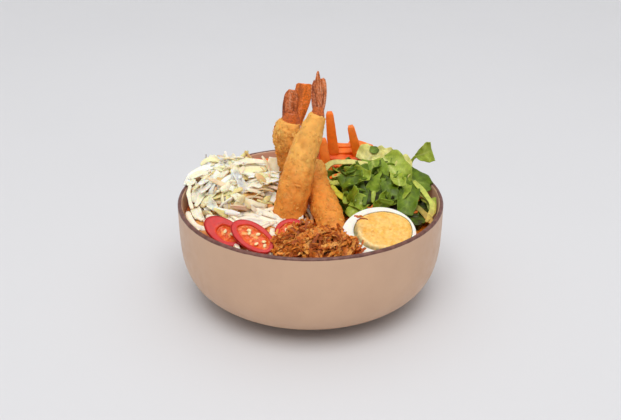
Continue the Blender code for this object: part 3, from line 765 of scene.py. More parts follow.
def make_egg():
    """The white with its socket, and the yolk: crumbly, and split from the white at its left."""
    centre, axes, (half_length, half_width, half_depth) = flat_face("egg_white")
    yolk_centre, _, (yolk_length, yolk_width, yolk_half_depth) = flat_face("egg_yolk")
    shift = axes[:2] @ (yolk_centre - centre) + (0.0013, 0)
    yolk_length *= 1.08
    angles = math.tau * np.arange(EGG_STEPS) / EGG_STEPS
    outer = egg_outline(angles, half_length, half_width)
    inner = np.stack([shift[0] + np.cos(angles) * yolk_length, shift[1] + np.sin(angles) * yolk_width], -1)
    wobble = 1 + 0.012 * np.sin(3 * angles + 1) + 0.008 * np.sin(7 * angles)
    inner = shift + (inner - shift) * wobble[:, None]

    def place(flat, height):
        return centre + flat @ axes[:2] + np.broadcast_to(height, len(flat))[:, None] * axes[2]

    depth = half_depth * 2
    rings, shades = [], []
    for share in (0.3, 0.6, 0.85, 1.0):
        rings.append(place(shift + (inner - shift) * share, -2 * yolk_half_depth * math.sqrt(1.001 - share**2)))
        shades.append(np.broadcast_to(YOLK_GREEN, (EGG_STEPS, 3)))
    for share in (0.0, 0.05, 0.12, 0.3, 0.5, 0.7, 0.85, 0.94, 0.98):
        flat = inner + (outer - inner) * share
        dip = -0.00012 * noise_at(place(flat, 0), 0.005) - 0.0002 * ramp(share, 0.1, 0.0)
        rings.append(place(flat, dip - 0.0006 * ramp(share, 0.90, 1.02)))
        shades.append(mix(EGG_WHITE, YOLK_GREEN, np.full(EGG_STEPS, 0.35 * float(ramp(share, 0.09, 0.0)))))
    for turn in np.linspace(0.05, 1.0, 20) * math.pi / 2:
        flat = outer * math.cos(turn) if turn < math.pi / 2 - 0.01 else outer * 0.02
        rings.append(place(flat, -depth * math.sin(turn) - 0.0005 * math.cos(turn)))
        shades.append(np.broadcast_to(EGG_WHITE, (EGG_STEPS, 3)))
    shapes = Shapes()
    shapes.add(*loft(rings), ring_tints(shades))
    shapes.finish("egg_white_half", MATERIALS["white"], "egg_white", ["egg_white"])

    left = ramp(-np.cos(angles - 0.35), 0.30, 0.85)
    rings, shades = [], []
    for share in np.linspace(0.02, 1.0, 44):
        flat = shift + (inner - shift) * share * 0.985
        spots = place(flat, 0)
        crumbs = noise_at(spots, 0.0016) + 0.6 * noise_at(spots, 0.0007, 4.0)
        pits = ramp(noise_at(spots, 0.0022, 7.0), 0.35, 0.6)
        split = left * ramp(share + 0.03 * crumbs, 0.82, 0.95)
        rounding = 0.0006 * ramp(share, 0.88, 1.0)
        rings.append(place(flat, 0.0003 + 0.00022 * crumbs - 0.0006 * pits - rounding - 0.0016 * split))
        shade = mix(YOLK, YOLK_DEEP, ramp(noise_at(spots, 0.004, 2.0), -0.3, 0.4))
        pale = 0.30 * ramp(crumbs, 0.0, 0.8) + left * ramp(share, 0.66, 0.85) * (0.7 + 0.5 * crumbs)
        shade = mix(shade, YOLK_PALE, np.clip(pale, 0, 1))
        shades.append(mix(shade, YOLK_GREEN, np.clip(split * (0.9 + 0.5 * crumbs) + 0.2 * ramp(share, 0.96, 1.0), 0, 1)))
    for turn in np.linspace(0.1, 0.97, 9) * math.pi / 2:
        rings.append(place(shift + (inner - shift) * math.cos(turn) * 0.985, -2 * yolk_half_depth * math.sin(turn)))
        shades.append(np.broadcast_to(YOLK, (EGG_STEPS, 3)))
    shapes = Shapes()
    shapes.add(*loft(rings), ring_tints(shades))
    shapes.finish("egg_yolk_half", MATERIALS["yolk"], "egg_yolk", ["egg_yolk"])


# ---------------------------------------------------------------- chilli

CHILLI_SKIN = srgb(172, 8, 12)
CHILLI_FACE = srgb(204, 20, 12)
CHILLI_EDGE = srgb(222, 62, 22)
PULP = srgb(232, 94, 20)
PULP_PALE = srgb(246, 170, 88)
SEED_PALE = srgb(252, 226, 170)
CHILLI_STEPS = 96

# share from the hole to the skin, depth as a share of the thickness, colour
CHILLI_SECTION = (
    (0.0, 0.95, CHILLI_EDGE), (0.0, 0.5, CHILLI_EDGE), (0.02, 0.15, CHILLI_EDGE), (0.10, 0.03, CHILLI_EDGE),
    (0.25, 0.0, CHILLI_FACE), (0.5, 0.02, CHILLI_FACE), (0.75, 0.0, CHILLI_FACE), (0.90, 0.02, CHILLI_SKIN),
    (0.97, 0.08, CHILLI_SKIN), (1.0, 0.22, CHILLI_SKIN), (1.0, 0.75, CHILLI_SKIN), (0.95, 0.97, CHILLI_SKIN),
    (0.6, 1.0, CHILLI_FACE), (0.1, 1.0, CHILLI_FACE),
)


def torus(rings):
    """Points and faces of a closed tube through rings that come back to the first one."""
    rings = np.asarray(rings, float)
    rows, sides = rings.shape[:2]
    i, k = np.meshgrid(np.arange(rows), np.arange(sides), indexing="ij")
    below, beside = (i + 1) % rows, (k + 1) % sides
    corners = [i * sides + k, below * sides + k, below * sides + beside, i * sides + beside]
    return rings.reshape(-1, 3), np.stack(corners, -1).reshape(-1, 4).tolist()


def make_chilli(number, core_size, seeds):
    """A slanting chilli slice: a glossy ring of flesh, and a core of pulp with seeds.

    core_size is the core's length and width beside the CAD's, and a seed is its share of the core's
    length and width from the middle, and its turn.
    """
    ring_node, core_node = f"chilli_slice_{number}_ring", f"chilli_slice_{number}_core"
    centre, axes, (length, width, half_depth) = flat_face(ring_node)
    core_centre, _, (core_length, core_width, _) = flat_face(core_node)
    core = np.array([core_length * core_size[0], core_width * core_size[1]])
    shift = axes[:2] @ (core_centre - centre)
    angles = math.tau * np.arange(CHILLI_STEPS) / CHILLI_STEPS
    circle = np.stack([np.cos(angles), np.sin(angles)], -1)
    outer = circle * (length, width)
    uneven = 1 + 0.05 * np.sin(2 * angles + number) + 0.04 * np.sin(5 * angles + 2 * number)
    inner = shift + circle * core * uneven[:, None]
    depth = 2 * half_depth

    def place(flat, height):
        return centre + flat @ axes[:2] + np.broadcast_to(height, len(flat))[:, None] * axes[2]

    rings, shades = [], []
    for share, drop, colour in CHILLI_SECTION:
        flat = inner + (outer - inner) * share
        spots = place(flat, 0)
        rings.append(place(flat, 0.00015 * noise_at(spots, 0.004) - depth * drop))
        shades.append(mix(colour, CHILLI_EDGE, 0.5 * ramp(noise_at(spots, 0.006, number), 0.0, 0.7) * (1 - share)))
    shapes = Shapes()
    shapes.add(*torus(rings), np.array(shades).reshape(-1, 3))
    shapes.finish(f"chilli_{number}_flesh", MATERIALS["chilli"], "chilli_flesh", [ring_node])

    rings, shades = [], []
    for share in np.linspace(0.03, 1.04, 16):
        flat = shift + (inner - shift) * share
        spots = place(flat, 0)
        lumps = noise_at(spots, 0.0024, number) + 0.4 * noise_at(spots, 0.0010, 5.0)
        rings.append(place(flat, -depth * 0.38 + 0.0006 * lumps + 0.0006 * ramp(share, 0.7, 1.0)))
        shades.append(mix(PULP, PULP_PALE, ramp(lumps + 0.3 * ramp(share, 0.5, 0.0), 0.1, 0.7)))
    for share in (1.0, 0.5, 0.03):
        rings.append(place(shift + (inner - shift) * share, -depth * 0.9))
        shades.append(np.broadcast_to(PULP, (CHILLI_STEPS, 3)))
    shapes = Shapes()
    shapes.add(*loft(rings), ring_tints(shades))
    for along, across, turn in seeds:
        spot = place((shift + core * (along, across))[None], -depth * 0.20)[0]
        heading = axes[0] * math.cos(turn) + axes[1] * math.sin(turn)
        add_seed(shapes, Vector(spot), Vector(heading), Vector(axes[2]), 0.4 * math.sin(9 * turn))
    shapes.finish(f"chilli_{number}_pulp", MATERIALS["pulp"], "chilli_core", [core_node])


SEED_LENGTH = 0.0028
SEED_WIDTH = 0.0020


def add_seed(shapes, place, heading, normal, tilt):
    """A flat pale chilli seed, pointed at one end."""
    face = turned_about(normal, heading, tilt)
    share = np.linspace(0, 1, 8)
    path = [place + heading * SEED_LENGTH * (s - 0.5) for s in share]
    widths = SEED_WIDTH * np.sin(np.clip(share * 0.93 + 0.07, 0, 1) * math.pi) ** 0.6 + 0.0002
    sweep(shapes, path, tuple(face), widths, widths * 0.35 + 0.0002, SEED_PALE, sides=10, square=1.0)


# ---------------------------------------------------------------- carrots

CARROT = srgb(252, 124, 26)
CARROT_DEEP = srgb(240, 92, 12)
# painted shade: a deeper red for the sticks and core seen in the gaps
CARROT_RED_SHADE = srgb(216, 66, 8)
CARROT_PALE = srgb(252, 150, 66)


def add_carrot(shapes, start, end, width, depth, rng, tint, bend=0.0, face=(0, -0.5, 0.85), taper=0.2):
    """A cut stick between two points: flat sides, a slight bend, a narrower end, and streaks along it."""
    rows = 14
    share = np.linspace(0, 1, rows)
    start, end = Vector(start), Vector(end)
    across = (end - start).cross(Vector(face)).normalized()
    path = np.array([tuple(start.lerp(end, s) + across * bend * math.sin(math.pi * s)) for s in share])
    path += 0.00018 * np.stack([noise_at(path, 0.004, k + rng.uniform(0, 9)) for k in range(3)], -1)
    narrow = 1 - taper * share**2
    cut = np.where((share > 0.94) | (share < 0.06), 0.7, 1.0)
    streak = noise_at(path, 0.006, rng.uniform(0, 50))
    tints = mix(tint, CARROT_PALE, ramp(streak, 0.0, 0.6) * 0.4)
    sweep(shapes, path, face, width * narrow * cut, depth * narrow * cut, tints, sides=12, square=0.28)


def make_standing_carrots():
    """The three sticks that stand up out of the heap, one of them leaning back."""
    for number, width in ((1, 0.0074), (2, 0.0072), (3, 0.0068)):
        node = f"carrot_stick_{number}"
        low, high = BOXES[node]
        depth = 0.0044
        start = Vector((high.x - width * 0.5, (low.y + high.y) / 2, low.z))
        end = Vector((low.x + width * 0.36, (low.y + high.y) / 2, high.z - 0.0003))
        if number == 2:
            start.y, end.y = low.y + depth / 2, high.y - depth / 2
        shapes = Shapes()
        add_carrot(shapes, start, end, width, depth, seeded(node), CARROT, 0.0004, (0, 1, 0), 0.34)
        shapes.finish(f"{node}_cut", MATERIALS["carrot"], "carrot", [node])


# the sticks that show most: ends as shares of the heap's box, width, tint
BACK_STICKS = (
    ((0.20, 0.38, 1.05), (0.70, 0.33, 1.09), 0.0030, CARROT), ((0.20, 0.28, 0.93), (0.62, 0.26, 0.98), 0.0038, CARROT),
    ((0.16, 0.19, 0.83), (0.56, 0.17, 0.82), 0.0040, CARROT_DEEP), ((0.50, 0.44, 1.09), (0.83, 0.28, 0.99), 0.0048, CARROT),
    # painted shade: the first stick on the next line lies low, in the deeper red
    ((0.09, 0.14, 0.69), (0.43, 0.09, 0.74), 0.0040, CARROT_RED_SHADE), ((0.40, 0.10, 0.72), (0.66, 0.12, 0.86), 0.0036, CARROT_DEEP),
    ((0.56, 0.22, 1.06), (0.72, 0.02, 0.78), 0.0050, CARROT), ((0.24, 0.04, 0.70), (0.36, -0.02, 0.66), 0.0034, CARROT_DEEP),
    ((0.34, -0.06, 0.68), (0.44, 0.06, 0.84), 0.0034, CARROT), ((0.04, 0.16, 0.62), (0.16, 0.24, 0.94), 0.0036, CARROT_DEEP),
)
LEFT_STICKS = (
    ((0.04, 0.40, 1.10), (0.26, 0.20, 1.04), 0.0030, CARROT), ((0.42, 0.12, 1.05), (0.70, 0.26, 1.12), 0.0034, CARROT),
    ((0.20, 0.33, 0.96), (0.54, 0.30, 1.04), 0.0028, CARROT_DEEP),
)


def make_carrot_heap(name, node, sticks, count):
    """The chosen sticks and some others, mostly level, over a core."""
    skin, rng = Skin(node), seeded(node)
    shapes = Shapes()
    # painted shade: the core is a deep red, darker still in its dips
    add_core(shapes, node, 0.0038, CARROT_RED_SHADE, srgb(150, 40, 8))
    for start, end, width, tint in sticks:
        add_carrot(shapes, at(node, *start), at(node, *end), width * 1.3, width, rng, tint, rng.uniform(-0.001, 0.001))
    for place, normal in skin.places(rng, count, slope=-0.05):
        heading = Vector((rng.uniform(0.7, 1), rng.uniform(-0.45, 0.45), rng.uniform(-0.12, 0.12))).normalized()
        length = rng.uniform(0.014, 0.028)
        middle = place - normal * rng.uniform(0.0012, 0.0034)
        start, end = middle - heading * length / 2, middle + heading * length / 2
        width, depth = rng.uniform(0.0030, 0.0042), rng.uniform(0.0024, 0.0034)
        # painted shade: the sticks sunk in the heap get deeper reds
        tint = mix(CARROT_DEEP, CARROT_RED_SHADE, rng.random())
        add_carrot(shapes, start, end, width, depth, rng, tint, rng.uniform(-0.0015, 0.0015), tuple(normal))
    shapes.finish(name, MATERIALS["carrot"], "carrot", [node])


# ---------------------------------------------------------------- cabbage and noodles

CABBAGE_WHITE = srgb(255, 248, 232)
CABBAGE_CREAM = srgb(255, 240, 208)
CABBAGE_YELLOW = srgb(252, 238, 190)
CABBAGE_GREEN = srgb(238, 226, 160)
CABBAGE_TINTS = (CABBAGE_WHITE, CABBAGE_WHITE, CABBAGE_CREAM, CABBAGE_CREAM, CABBAGE_YELLOW, CABBAGE_GREEN)
# painted shade: the warm tan of the gaps between the strips
CABBAGE_SHADE = srgb(206, 134, 60)
# a warm tan: partly the broth's stain, partly painted shade on the lower pieces
SOAK_AND_SHADE_TAN = srgb(240, 176, 96)
FRONT_UP = (0, -0.55, 0.83)
LAID_LIFT = Vector((0, -0.0012, 0.0012))


def soaked_and_shaded(tints, path, low=0.0570, high=0.0680):
    """Tints drawn towards the broth's colour near its surface: partly the broth's stain, partly painted shade on the
    lower pieces.
    """
    # stain and painted shade: the lower the point, the more of the warm tan
    wet = ramp(np.asarray(path)[:, 2], high, low) * 0.7
    return mix(tints, SOAK_AND_SHADE_TAN, wet)


def ribbon(shapes, path, face, width, thickness, tint, cup=0.15, columns=5):
    """A flat strip along path that faces face: cup curls its long edges, thickness is that of its middle."""
    path = np.asarray(path, float)
    count = len(path)
    along = unit(np.gradient(path, axis=0))
    side = unit(np.cross(along, np.broadcast_to(np.asarray(face, float), path.shape)))
    up = np.cross(side, along)
    across = np.linspace(-1, 1, columns)
    width = np.broadcast_to(np.asarray(width, float), count)[:, None, None] / 2
    half = thickness / 2 * (1 - 0.45 * across**2)
    lift = width * cup * across[:, None] ** 2
    base = path[:, None] + side[:, None] * across[:, None] * width + up[:, None] * lift
    top, bottom = base + up[:, None] * half[:, None], base - up[:, None] * half[:, None]
    rings = np.concatenate([top, bottom[:, ::-1]], 1)
    tints = np.broadcast_to(np.asarray(tint, float), (count, 3))
    shapes.add(*loft(rings), ring_tints(np.repeat(tints[:, None], 2 * columns, 1)))


def ends_and_edges(share, rng, tip=0.45):
    """A strip's width along it as a share of its greatest: narrower ends, uneven edges."""
    ends = tip + (1 - tip) * np.minimum(1, np.minimum(share, 1 - share) * rng.uniform(5, 9))
    return ends * (1 + 0.14 * np.sin(share * rng.uniform(6, 15) + rng.uniform(0, 6)))


def add_strip(shapes, place, heading, normal, length, width, thickness, tint, rng, lift, sag, bend):
    """A loose strip over a heap: its middle at place, its ends sagging by sag and bent sideways by bend."""
    count = max(8, int(length / 0.0018))
    share = np.linspace(0, 1, count)
    off = share - 0.5
    side = Vector(heading).cross(normal)
    path = np.outer(off * length, heading) + np.outer(lift - sag * 4 * off**2, normal) + np.outer(bend * 4 * off**2, side)
    path = path + np.array(place) + 0.0005 * np.stack([noise_at(path + np.array(place), 0.007, k) for k in range(3)], -1)
    tilt = rng.gauss(0, 0.35) + rng.gauss(0, 0.5) * off
    face = np.outer(np.cos(tilt), normal) + np.outer(np.sin(tilt), side)
    tints = soaked_and_shaded(np.broadcast_to(tint, (count, 3)), path)
    ribbon(shapes, path, face, width * ends_and_edges(share, rng), thickness, tints, rng.uniform(-0.2, 0.35))


def add_laid_strip(shapes, node, row, rng, face=FRONT_UP):
    """A strip whose way points are given."""
    way, width, thickness, tint = row
    path = catmull_rom([at(node, *point) + LAID_LIFT for point in way], 8 * len(way))
    share = np.linspace(0, 1, len(path))
    path = path + 0.0004 * np.stack([noise_at(path, 0.006, k) for k in range(3)], -1)
    ribbon(shapes, path, face, width * ends_and_edges(share, rng, 0.6), thickness, soaked_and_shaded(
        np.broadcast_to(tint, (len(path), 3)), path), 0.2, 7)


# way points as shares of the heap's box, width, thickness, tint
CABBAGE_STRIPS = (
    (((0.38, 0.78, 0.66), (0.58, 0.76, 0.78), (0.80, 0.74, 0.78)), 0.0042, 0.0010, CABBAGE_CREAM),
    (((0.36, 0.68, 0.54), (0.56, 0.67, 0.64), (0.80, 0.65, 0.70)), 0.0050, 0.0010, CABBAGE_YELLOW),
    (((0.42, 0.60, 0.44), (0.62, 0.56, 0.60), (0.78, 0.52, 0.57), (0.95, 0.49, 0.69)), 0.0056, 0.0014, CABBAGE_WHITE),
    (((0.50, 0.49, 0.40), (0.65, 0.42, 0.44), (0.80, 0.37, 0.42), (0.94, 0.29, 0.26)), 0.0078, 0.0026, CABBAGE_WHITE),
    # painted shade: the next strip is a thin one in the shade tan, low in the heap
    (((0.55, 0.33, 0.22), (0.69, 0.31, 0.30), (0.83, 0.26, 0.24), (0.91, 0.21, 0.16)), 0.0030, 0.0012, CABBAGE_SHADE),
    (((-0.03, 0.44, 0.52), (-0.02, 0.30, 0.46), (0.03, 0.16, 0.28)), 0.0026, 0.0010, CABBAGE_CREAM),
    (((0.31, 0.74, 0.68), (0.13, 0.70, 0.68), (-0.04, 0.64, 0.58), (-0.12, 0.52, 0.44)), 0.0044, 0.0010, CABBAGE_WHITE),
    (((0.22, 0.63, 0.54), (0.07, 0.64, 0.60), (-0.08, 0.58, 0.52)), 0.0040, 0.0008, CABBAGE_CREAM),
    (((0.28, 0.80, 0.74), (0.14, 0.80, 0.78), (0.04, 0.78, 0.66)), 0.0034, 0.0008, CABBAGE_YELLOW),
    (((0.36, 0.74, 0.60), (0.35, 0.77, 0.84), (0.32, 0.80, 1.02)), 0.0016, 0.0008, CABBAGE_WHITE),
    (((0.40, 0.76, 0.62), (0.42, 0.80, 0.80), (0.40, 0.82, 0.92)), 0.0020, 0.0008, CABBAGE_CREAM),
    (((0.21, 0.48, 0.53), (0.26, 0.33, 0.36), (0.27, 0.18, 0.20)), 0.0034, 0.0010, CABBAGE_WHITE),
    (((0.13, 0.50, 0.62), (0.12, 0.33, 0.46), (0.07, 0.18, 0.32)), 0.0040, 0.0009, CABBAGE_CREAM),
    (((0.32, 0.53, 0.55), (0.37, 0.36, 0.36), (0.34, 0.18, 0.18)), 0.0032, 0.0010, CABBAGE_YELLOW),
    (((0.05, 0.41, 0.52), (0.13, 0.27, 0.36), (0.22, 0.13, 0.20)), 0.0036, 0.0009, CABBAGE_WHITE),
    (((0.26, 0.15, 0.13), (0.45, 0.18, 0.20), (0.60, 0.23, 0.20)), 0.0040, 0.0014, CABBAGE_WHITE),
)
# root and direction as shares of the heap's box, length, width, curl
CABBAGE_LEAVES = (
    ((0.86, 0.60, 0.38), (0.02, 0.09, 0.66), 0.0185, 0.0100, 0.2), ((0.16, 0.62, 0.60), (-0.20, 0.06, 0.10), 0.0110, 0.0090, 0.9),
    ((0.30, 0.70, 0.64), (-0.16, 0.10, 0.16), 0.0120, 0.0090, 0.8), ((0.10, 0.36, 0.50), (-0.10, -0.14, -0.10), 0.0100, 0.0090, 0.6),
    ((0.30, 0.30, 0.32), (-0.10, -0.16, -0.10), 0.0100, 0.0080, 0.8), ((0.46, 0.70, 0.60), (0.20, 0.02, 0.10), 0.0120, 0.0080, 0.6),
    ((0.18, 0.46, 0.56), (0.14, -0.14, 0.04), 0.0110, 0.0090, 1.0), ((-0.02, 0.46, 0.54), (-0.05, 0.14, 0.06), 0.0090, 0.0070, 0.4),
    ((0.22, 0.80, 0.72), (-0.10, 0.04, 0.16), 0.0080, 0.0070, 0.6), ((0.06, 0.18, 0.30), (0.06, -0.14, -0.10), 0.0090, 0.0070, 0.5),
)


def make_cabbage():
    """Strips laid from a list and at random, level at the right and tangled at the left, with bits of leaf."""
    node = "cabbage_heap"
    skin, rng = Skin(node), seeded(node)
    low, high = BOXES[node]
    shapes = Shapes()
    # painted shade: a warm tan core, darker in its dips, shows in the gaps; partly also the broth's stain
    add_core(shapes, node, 0.0034, srgb(236, 190, 120), CABBAGE_SHADE)
    for place, normal in skin.places(rng, 185, slope=-0.15, level=0.057):
        tangled = float(ramp((place.x - low.x) / (high.x - low.x), 0.62, 0.35))
        level = Vector((1, 0, 0.1)) * rng.choice((-1, 1))
        heading = level.lerp(random_heading(rng, normal), 0.25 + 0.75 * tangled)
        heading = (heading - normal * heading.dot(normal)).normalized()
        width, thickness = rng.uniform(0.0020, 0.0052), rng.uniform(0.0007, 0.0014)
        length = rng.uniform(0.013, 0.032)
        lift, sag = rng.uniform(-0.0034, 0.0002), rng.uniform(-0.0005, 0.0034)
        # painted shade: the lower a strip lies, the more it is drawn towards the shade tan
        tint = mix(rng.choice(CABBAGE_TINTS), CABBAGE_SHADE, 0.5 * ramp(lift, -0.0010, -0.0032))
        add_strip(shapes, place, heading, normal, length, width, thickness, tint, rng, lift, sag, rng.gauss(0, 0.002))
    for row in CABBAGE_STRIPS:
        add_laid_strip(shapes, node, row, rng)
    shapes.finish("cabbage_shreds", MATERIALS["cabbage"], "cabbage", [node])
    leaves = Shapes()
    for root, way, length, width, curl in CABBAGE_LEAVES:
        heading = Vector([way[i] * (high[i] - low[i]) for i in range(3)])
        add_leaf(leaves, at(node, *root), heading, FRONT_UP, length, width, rng, CABBAGE_LEAF, curl, 0.4, 0.22)
    for place, normal in skin.places(rng, 26, slope=0.0, level=0.060):
        heading = (random_heading(rng, normal) + normal * 0.3).normalized()
        length, width = rng.uniform(0.006, 0.011), rng.uniform(0.004, 0.008)
        add_leaf(leaves, place - heading * 0.003, heading, normal, length, width, rng, CABBAGE_LEAF, 0.8, 0.5, 0.3)
    leaves.finish("cabbage_leaf_bits", MATERIALS["cabbage"], "cabbage", thickness=0.0006)
    make_bits("carrot_bits", "carrot", CABBAGE_BITS, node)


# ends of small carrot bits as shares of the cabbage's box
CABBAGE_BITS = (
    ((0.42, 0.70, 0.66), (0.47, 0.69, 0.69)), ((0.57, 0.69, 0.70), (0.64, 0.69, 0.72)), ((0.78, 0.66, 0.76), (0.83, 0.65, 0.76)),
    ((0.34, 0.40, 0.40), (0.36, 0.37, 0.36)), ((0.16, 0.30, 0.38), (0.19, 0.27, 0.36)), ((0.96, 0.66, 0.62), (1.02, 0.70, 0.70)),
)


def make_bits(name, slot, bits, node):
    """Small sticks of carrot that lie in another heap."""
    shapes, rng = Shapes(), seeded(name)
    for start, end in bits:
        add_carrot(shapes, at(node, *start), at(node, *end), 0.0018, 0.0014, rng, mix(CARROT, CARROT_DEEP, rng.random()))
    shapes.finish(name, MATERIALS["carrot"], slot)


NOODLE = srgb(255, 238, 212)
# way points as shares of the nest's box, width
NOODLE_LAID = (
    (((0.01, 0.66, 0.66), (0.05, 0.56, 0.50), (0.12, 0.47, 0.36), (0.22, 0.42, 0.36)), 0.0036),
    (((0.48, 0.69, 0.80), (0.60, 0.62, 0.80), (0.75, 0.56, 0.66), (0.93, 0.58, 0.62)), 0.0044),
    (((0.44, 0.62, 0.72), (0.58, 0.56, 0.66), (0.74, 0.51, 0.50), (0.90, 0.53, 0.50)), 0.0040),
    (((0.46, 0.52, 0.62), (0.64, 0.49, 0.52), (0.81, 0.44, 0.38), (0.93, 0.47, 0.44)), 0.0044),
    (((0.17, 0.59, 0.64), (0.33, 0.51, 0.60), (0.49, 0.53, 0.70), (0.62, 0.50, 0.56)), 0.0042),
    (((0.58, 0.42, 0.38), (0.75, 0.45, 0.40), (0.88, 0.40, 0.28)), 0.0036),
    (((0.24, 0.66, 0.66), (0.38, 0.60, 0.66), (0.54, 0.64, 0.72)), 0.0038),
)


def make_noodles():
    """Flat, smooth rice noodles: some laid from a list in front, others wandering over the nest."""
    node = "noodle_nest"
    skin, rng = Skin(node), seeded(node)
    shapes = Shapes()
    add_core(shapes, node, 0.0026, srgb(232, 160, 84), srgb(196, 104, 36))
    for place, normal in skin.places(rng, 26, slope=0.1):
        heading = random_heading(rng, normal)
        length = rng.uniform(0.030, 0.055)
        count = int(length / 0.0016)
        path, normals = skin.walk(place, heading, length, count, turn=rng.gauss(0, 1.0))
        share = np.linspace(0, 1, count)
        path = path + normals * (rng.uniform(-0.0022, -0.0002) + 0.0006 * np.sin(share * rng.uniform(3, 7)))[:, None]
        width = rng.uniform(0.0028, 0.0040)
        tints = soaked_and_shaded(np.broadcast_to(NOODLE, (count, 3)), path, 0.0545, 0.0600)
        sweep(shapes, path, normals, width, width * 0.55, tints, sides=12, square=0.8)
    for way, width in NOODLE_LAID:
        path = catmull_rom([at(node, *point) for point in way], 9 * len(way))
        share = np.linspace(0, 1, len(path))
        widths = width * (1 + 0.10 * np.sin(share * 9)) * np.minimum(1, 0.6 + 6 * np.minimum(share, 1 - share))
        sweep(shapes, path, FRONT_UP, widths, widths * 0.5, NOODLE, sides=14, square=0.75)
    shapes.finish("noodle_strands", MATERIALS["noodle"], "noodles", [node])


# ---------------------------------------------------------------- lettuce

# base, dark and light colour, and that of the ribs
LEAF = (srgb(124, 148, 30), srgb(88, 112, 8), srgb(160, 178, 62), srgb(204, 210, 114))
LEAF_DARK = (srgb(92, 116, 14), srgb(64, 84, 4), srgb(124, 148, 40), srgb(164, 178, 80))
LEAF_DEEP = (srgb(70, 90, 6), srgb(48, 62, 2), srgb(98, 118, 24), srgb(132, 148, 56))
LEAF_LIGHT = (srgb(152, 170, 52), srgb(116, 138, 26), srgb(190, 198, 88), srgb(222, 222, 146))
LEAF_PALE = (srgb(214, 208, 122), srgb(190, 190, 90), srgb(234, 228, 158), srgb(244, 238, 190))
LEAF_LIME = (srgb(198, 190, 50), srgb(160, 160, 24), srgb(220, 206, 84), srgb(232, 222, 130))
CABBAGE_LEAF = (CABBAGE_CREAM, CABBAGE_YELLOW, CABBAGE_WHITE, CABBAGE_WHITE)
LEAF_THICKNESS = 0.00045

# share of a leaf's length, share of its greatest width
CUT_LEAF = ((0.0, 0.8), (0.3, 1.0), (0.7, 0.95), (1.0, 0.7))
FAN_LEAF = ((0.0, 0.14), (0.2, 0.45), (0.5, 0.85), (0.8, 1.0), (1.0, 0.95))
POINTED_LEAF = ((0.0, 0.55), (0.25, 0.95), (0.5, 1.0), (0.8, 0.66), (1.0, 0.12))
SHRED = ((0.0, 0.7), (0.2, 1.0), (0.8, 0.9), (1.0, 0.4))


def add_leaf(shapes, root, heading, face, length, width, rng, colours, curl=0.5, cup=0.4, frill=0.25,
             outline=CUT_LEAF, rib=0.5, rows=22, columns=15):
    """A leaf from its root along heading, facing face: curl bends it down along its length, cup folds it
    along its midrib, and frill waves its edges. Veins show as paler lines, rib is how pale the midrib is."""
    colour, dark, light, rib_colour = colours
    heading, face = Vector(heading).normalized(), Vector(face)
    face = (face - heading * face.dot(heading)).normalized()
    side = heading.cross(face)
    across = np.linspace(-1, 1, columns)
    phase, waves = rng.uniform(0, math.tau), rng.uniform(9, 16)
    fold = np.clip(cup * np.abs(across), 0, 1.5)
    out = np.sign(across) * np.sin(fold) / cup
    rise = (1 - np.cos(fold)) / cup
    place = Vector(root)
    points = []
    for i in range(rows):
        share = i / (rows - 1)
        half = width / 2 * float(np.interp(share, *zip(*outline)))
        ruffle = frill * half * across**2 * np.sin(waves * share + phase + 2.2 * np.sign(across))
        points.append(np.array(place) + np.outer(out * half, side) + np.outer(rise * half + ruffle, face))
        place = place + heading * length / (rows - 1)
        turn = Quaternion(side, -curl / rows)
        heading, face = turn @ heading, turn @ face
    flat = np.array(points).reshape(-1, 3)
    flat = flat + 0.0005 * np.stack([noise_at(flat, 0.005, k * 3.1) for k in range(3)], -1)
    v, u = np.meshgrid(across, np.linspace(0, 1, rows))
    vein = ramp(np.abs(np.sin((u * 4.5 - np.abs(v) * 1.6) * math.pi)), 0.30, 0.05)
    midrib = np.exp(-((v / 0.10) ** 2))
    patch = noise_at(flat, 0.006, rng.uniform(0, 30)).reshape(rows, columns)
    shade = mix(colour, dark, ramp(patch, 0.0, 0.6) * 0.6)
    shade = mix(shade, light, np.clip(0.40 * vein + 0.35 * ramp(-patch, 0.1, 0.6), 0, 1))
    shade = mix(shade, rib_colour, np.clip(midrib * rib * (1.2 - u), 0, 1))
    shapes.add(*grid(flat.reshape(rows, columns, 3)), shade.reshape(-1, 3))


